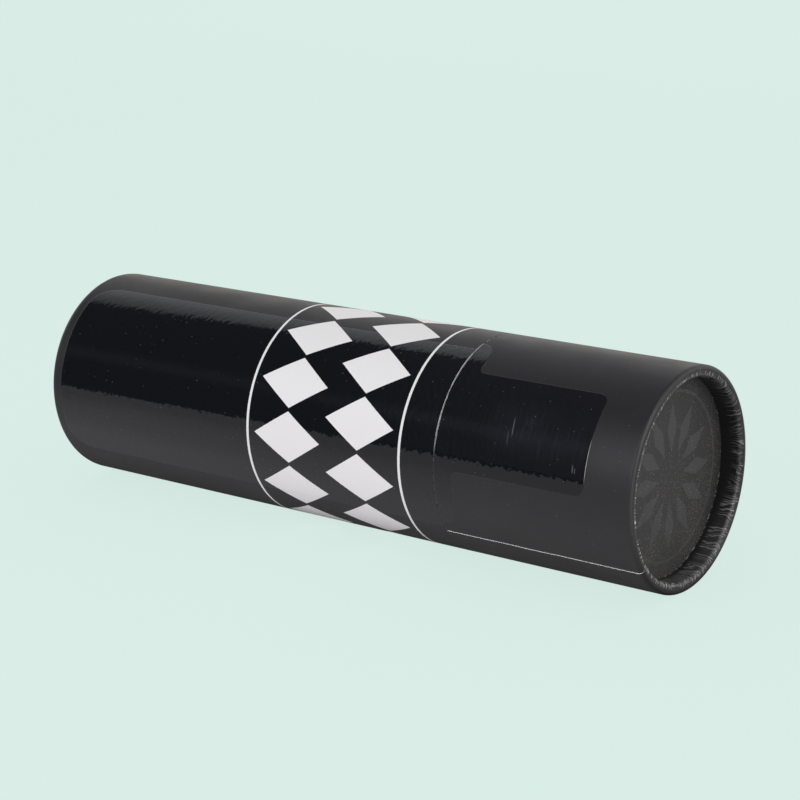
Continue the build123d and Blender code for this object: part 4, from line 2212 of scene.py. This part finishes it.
    def _contact_shade(self, sketch: Sketch) -> Term:
        """Paints the tube's contact shadow into the floor's light for reflections: dims it near the tube,
        from the line where it rests outwards.

        Args:
            sketch: the sketch of the floor's tree.

        Returns:
            How much of its light the floor keeps.
        """
        x, y, _ = sketch.split(sketch.place())
        past_end = (x.size() - self.contact_half_length).at_least(0.0)
        away = sketch.length(sketch.joined((y * -1.0).at_least(y * 0.45), past_end * 1.3))
        near = sketch.ranged(away, *self.contact_near, 0.13, 0.82)
        far = sketch.ranged(away, *self.contact_far, 0.0, 0.2)
        return near - far

    def _soft_box(self) -> None:
        """The soft box, above the tube and behind it, brighter towards its back."""
        material, sketch, glow = glowing("soft_box")
        height = self.soft_box_height + self.sizes.axis_height
        _, y, _ = sketch.split(sketch.place())
        bright = y * self.soft_box_gain + self.soft_box_base
        bright = bright.at_least(self.soft_box_least).at_most(self.soft_box_most)
        bright = bright - (y - self.soft_box_dip_from).at_least(0.0) * self.soft_box_dip
        bright = bright + (y - self.soft_box_rise_from).at_least(0.0) * self.soft_box_rise
        glow.inputs["Color"].default_value = self.soft_box_colour
        sketch.feed(glow.inputs["Strength"], bright)
        half = self.soft_box_half_length
        near = self.soft_box_near
        far = near + 2.0 * half * self.soft_box_slope
        outline = ((-half, near), (-half, self.soft_box_back), (half, self.soft_box_back), (half, far))
        corners = tuple((x, y, height) for x, y in outline)
        box = staged("soft_box", corners, [(0, 1, 2, 3)], material)
        box.visible_camera = False

    def _screen(self) -> None:
        """The dark screen round the front, with a faint haze across it, and its foot on the floor."""
        material, sketch, glow = glowing("dark_screen")
        x, y, z = sketch.split(sketch.place())
        down = sketch.maths("ARCTAN2", y * -1.0, z - self.sizes.axis_height)
        drift = sketch.clouds(sketch.joined(x * 2.0, 0.0), 1.0, 2.0, 0.6) * math.radians(self.haze_drift_deg)
        away = (down + drift - math.radians(self.haze_deg + self.haze_drift_deg / 2.0)).size()
        near_lid = x.rise(*self.lid_screen_along)
        haze = away.rise(math.radians(self.haze_half_deg), 0.0) * (near_lid * 0.6 + 0.4)
        ground = sketch.blend(near_lid, self.screen_colour, self.lid_screen_colour)
        sketch.feed(glow.inputs["Color"], sketch.blend(haze, ground, self.haze_colour))
        half = self.screen_half_length
        low = self.screen_foot_height
        foot = math.degrees(math.acos((low - self.sizes.axis_height) / self.screen_radius))
        arc = [
            (-self.screen_radius * math.sin(a), self.sizes.axis_height + self.screen_radius * math.cos(a))
            for a in np.radians(np.linspace(self.screen_top_deg, foot, self.screen_steps + 1))
        ]
        points = [(x, y, z) for y, z in arc for x in (-half, half)]
        faces = [(2 * k, 2 * k + 1, 2 * k + 3, 2 * k + 2) for k in range(len(arc) - 1)]
        hide_sheet(staged("dark_screen", points, faces, material), only_reflected=True)
        LightSheet("dark_apron", tuple((x, y, low) for x, y in self.apron), self.screen_colour).build()

    def _lamp(self) -> None:
        """A soft bluish lamp in front, turned to the tube."""
        centre = Vector(self.lamp_place)
        facing = (Vector((0.0, 0.0, self.sizes.axis_height)) - centre).normalized()
        side = facing.cross(Vector((0.0, 0.0, 1.0))).normalized() * self.lamp_half_width
        up = side.cross(facing).normalized() * self.lamp_half_height
        corners = tuple(tuple(centre + a * side + b * up) for a, b in ((-1, -1), (1, -1), (1, 1), (-1, 1)))
        LightSheet("front_lamp", corners, self.lamp_colour, only_reflected=False).build()

    def _cards(self) -> None:
        """Two cards on the floor and one past the lid's end, which light the reflections there."""
        floor = tuple((x, y, self.card_height) for x, y in self.floor_card)
        LightSheet("floor_card", floor, grey(self.floor_card_light)).build()
        low = tuple((x, y, self.card_height) for x, y in self.low_card)
        LightSheet("low_card", low, grey(self.low_card_light)).build()
        end = tuple((self.end_card_place, y, z) for y, z in self.end_card)
        LightSheet("end_card", end, grey(self.end_card_light)).build()


def main() -> None:
    """Builds the studio, the body and the lid."""
    logging.basicConfig(level=logging.INFO, format="%(message)s")
    sizes = TubeSizes.from_frame()
    PhotoCamera().build()
    Studio(sizes).build()
    pleats = PleatTree()

    board = GreyboardFinish("greyboard", sizes).build()
    disc_paper = DiscPaperFinish("disc_paper", sizes).build()
    neck_paper = PlainPaperFinish("neck_paper").build()
    lining_paper = PlainPaperFinish("lining_paper", colour=grey(0.03), fibre_colour=grey(0.06)).build()
    for node in ("body_tube", "neck_tube", "base_disc", "lid_tube", "lid_disc"):
        dress(node, board)

    body_print = PrintedWrapFinish(
        "body_print",
        sizes,
        (
            Panel(
                sizes.base_end + 6.3 * MM,
                sizes.lid_mouth + 20.0 * MM,
                top_deg=20.3,
                foot_deg=125.2,
                corner=10.5 * MM,
            ),
        ),
        mouth=sizes.body_mouth,
        rim=sizes.base_end,
        band=LozengeBand(rows=(-13.0 * MM, 21.0 * MM), lines=(-32.5 * MM, 40.5 * MM)),
        worn_width=0.12 * MM,
        lap_deg=BODY_LAP_DEG,
    )
    lid_print = PrintedWrapFinish(
        "lid_print",
        sizes,
        (
            Panel(
                sizes.body_mouth - 20.0 * MM,
                sizes.lid_mouth + 7.5 * MM,
                top_deg=14.4,
                foot_deg=122.0,
                corner=8.0 * MM,
            ),
            Panel(
                sizes.body_mouth - 20.0 * MM,
                sizes.lid_mouth + 64.0 * MM,
                top_deg=36.4,
                foot_deg=89.6,
                corner=4.0 * MM,
            ),
        ),
        mouth=sizes.lid_mouth,
        rim=sizes.lid_end,
        lap_deg=LID_LAP_DEG,
        varnish_glint_from=sizes.lid_mouth + 60.0 * MM,
        rub_sheen_middle=sizes.lid_mouth + 43.0 * MM,
        scratches_and_glints=(
            VarnishMark(sizes.lid_mouth + 31.4 * MM, 56.0, 68.0, half_width=0.24 * MM, strength=0.6),
            VarnishMark(sizes.lid_mouth + 30.2 * MM, 63.0, 73.0, half_width=0.4 * MM, strength=0.16),
            # Painted highlight: these two marks paint glints of the front lamp on the varnish; the two above
            # are scratches.
            VarnishMark(sizes.lid_mouth + 58.8 * MM, 74.2, 79.2, half_width=0.42 * MM, strength=0.42),
            VarnishMark(sizes.lid_mouth + 59.8 * MM, 75.6, 79.2, half_width=0.3 * MM, strength=0.4),
        ),
    )
    RolledWrap(
        sizes,
        "body_printed_wrap",
        Body.BODY,
        "body_wrap",
        end=sizes.base_end,
        mouth=sizes.body_mouth,
        disc_face=sizes.base_disc_face,
        outer_round_share=0.72,
        inner_round_share=0.16,
        lap_deg=BODY_LAP_DEG,
        seed=3.7,
    ).build(body_print.build(), pleats)
    RolledWrap(
        sizes,
        "lid_printed_wrap",
        Body.LID,
        "lid_wrap",
        end=sizes.lid_end,
        mouth=sizes.lid_mouth,
        disc_face=sizes.lid_disc_face,
        outer_round_share=0.36,
        inner_round_share=0.5,
        lap_deg=LID_LAP_DEG,
        seed=11.3,
    ).build(lid_print.build(), pleats)
    DiscPaper(
        sizes, "lid_disc_paper", Body.LID, "lid_disc_cover", sizes.lid_disc_face, sizes.lid_disc_back
    ).build(disc_paper)
    DiscPaper(
        sizes, "base_disc_paper", Body.BODY, "base_disc_cover", sizes.base_disc_face, sizes.base_disc_back
    ).build(disc_paper)
    glue = GlueFinish("dried_glue").build()
    bead_tree = BeadTree()
    GlueBeads(
        sizes,
        "lid_disc_glue_beads",
        Body.LID,
        face=sizes.lid_disc_face,
        outward=1.0,
        from_deg=170.0,
        to_deg=275.0,
        seed=5,
    ).build(glue, bead_tree)
    GlueBeads(
        sizes,
        "base_disc_glue_beads",
        Body.BODY,
        face=sizes.base_disc_face,
        outward=-1.0,
        from_deg=20.0,
        to_deg=120.0,
        seed=9,
    ).build(glue, bead_tree)
    LiningDisc(
        sizes, "cavity_floor_paper", Body.BODY, "base_lining", sizes.base_disc_back, sizes.cavity_floor
    ).build(lining_paper)
    LiningDisc(
        sizes, "lid_ceiling_paper", Body.LID, "lid_disc_lining", sizes.lid_disc_back, sizes.lid_ceiling
    ).build(lining_paper)
    NeckCover(sizes).build(neck_paper)
    PaperSleeve(
        sizes,
        "neck_paper_lining",
        Body.BODY,
        Slot.LINING,
        "neck_lining",
        near=sizes.cavity_floor,
        far=sizes.neck_turn_in_end,
        inner=sizes.neck_bore_radius,
        outer=sizes.neck_lining_radius,
    ).build(lining_paper)
    PaperSleeve(
        sizes,
        "lid_wall_lining",
        Body.LID,
        Slot.LINING,
        "lid_lining",
        near=sizes.lid_mouth,
        far=sizes.lid_ceiling,
        inner=sizes.bore_radius - sizes.lining_thickness,
        outer=sizes.bore_radius,
    ).build(lining_paper)


if __name__ == "__main__":
    main()
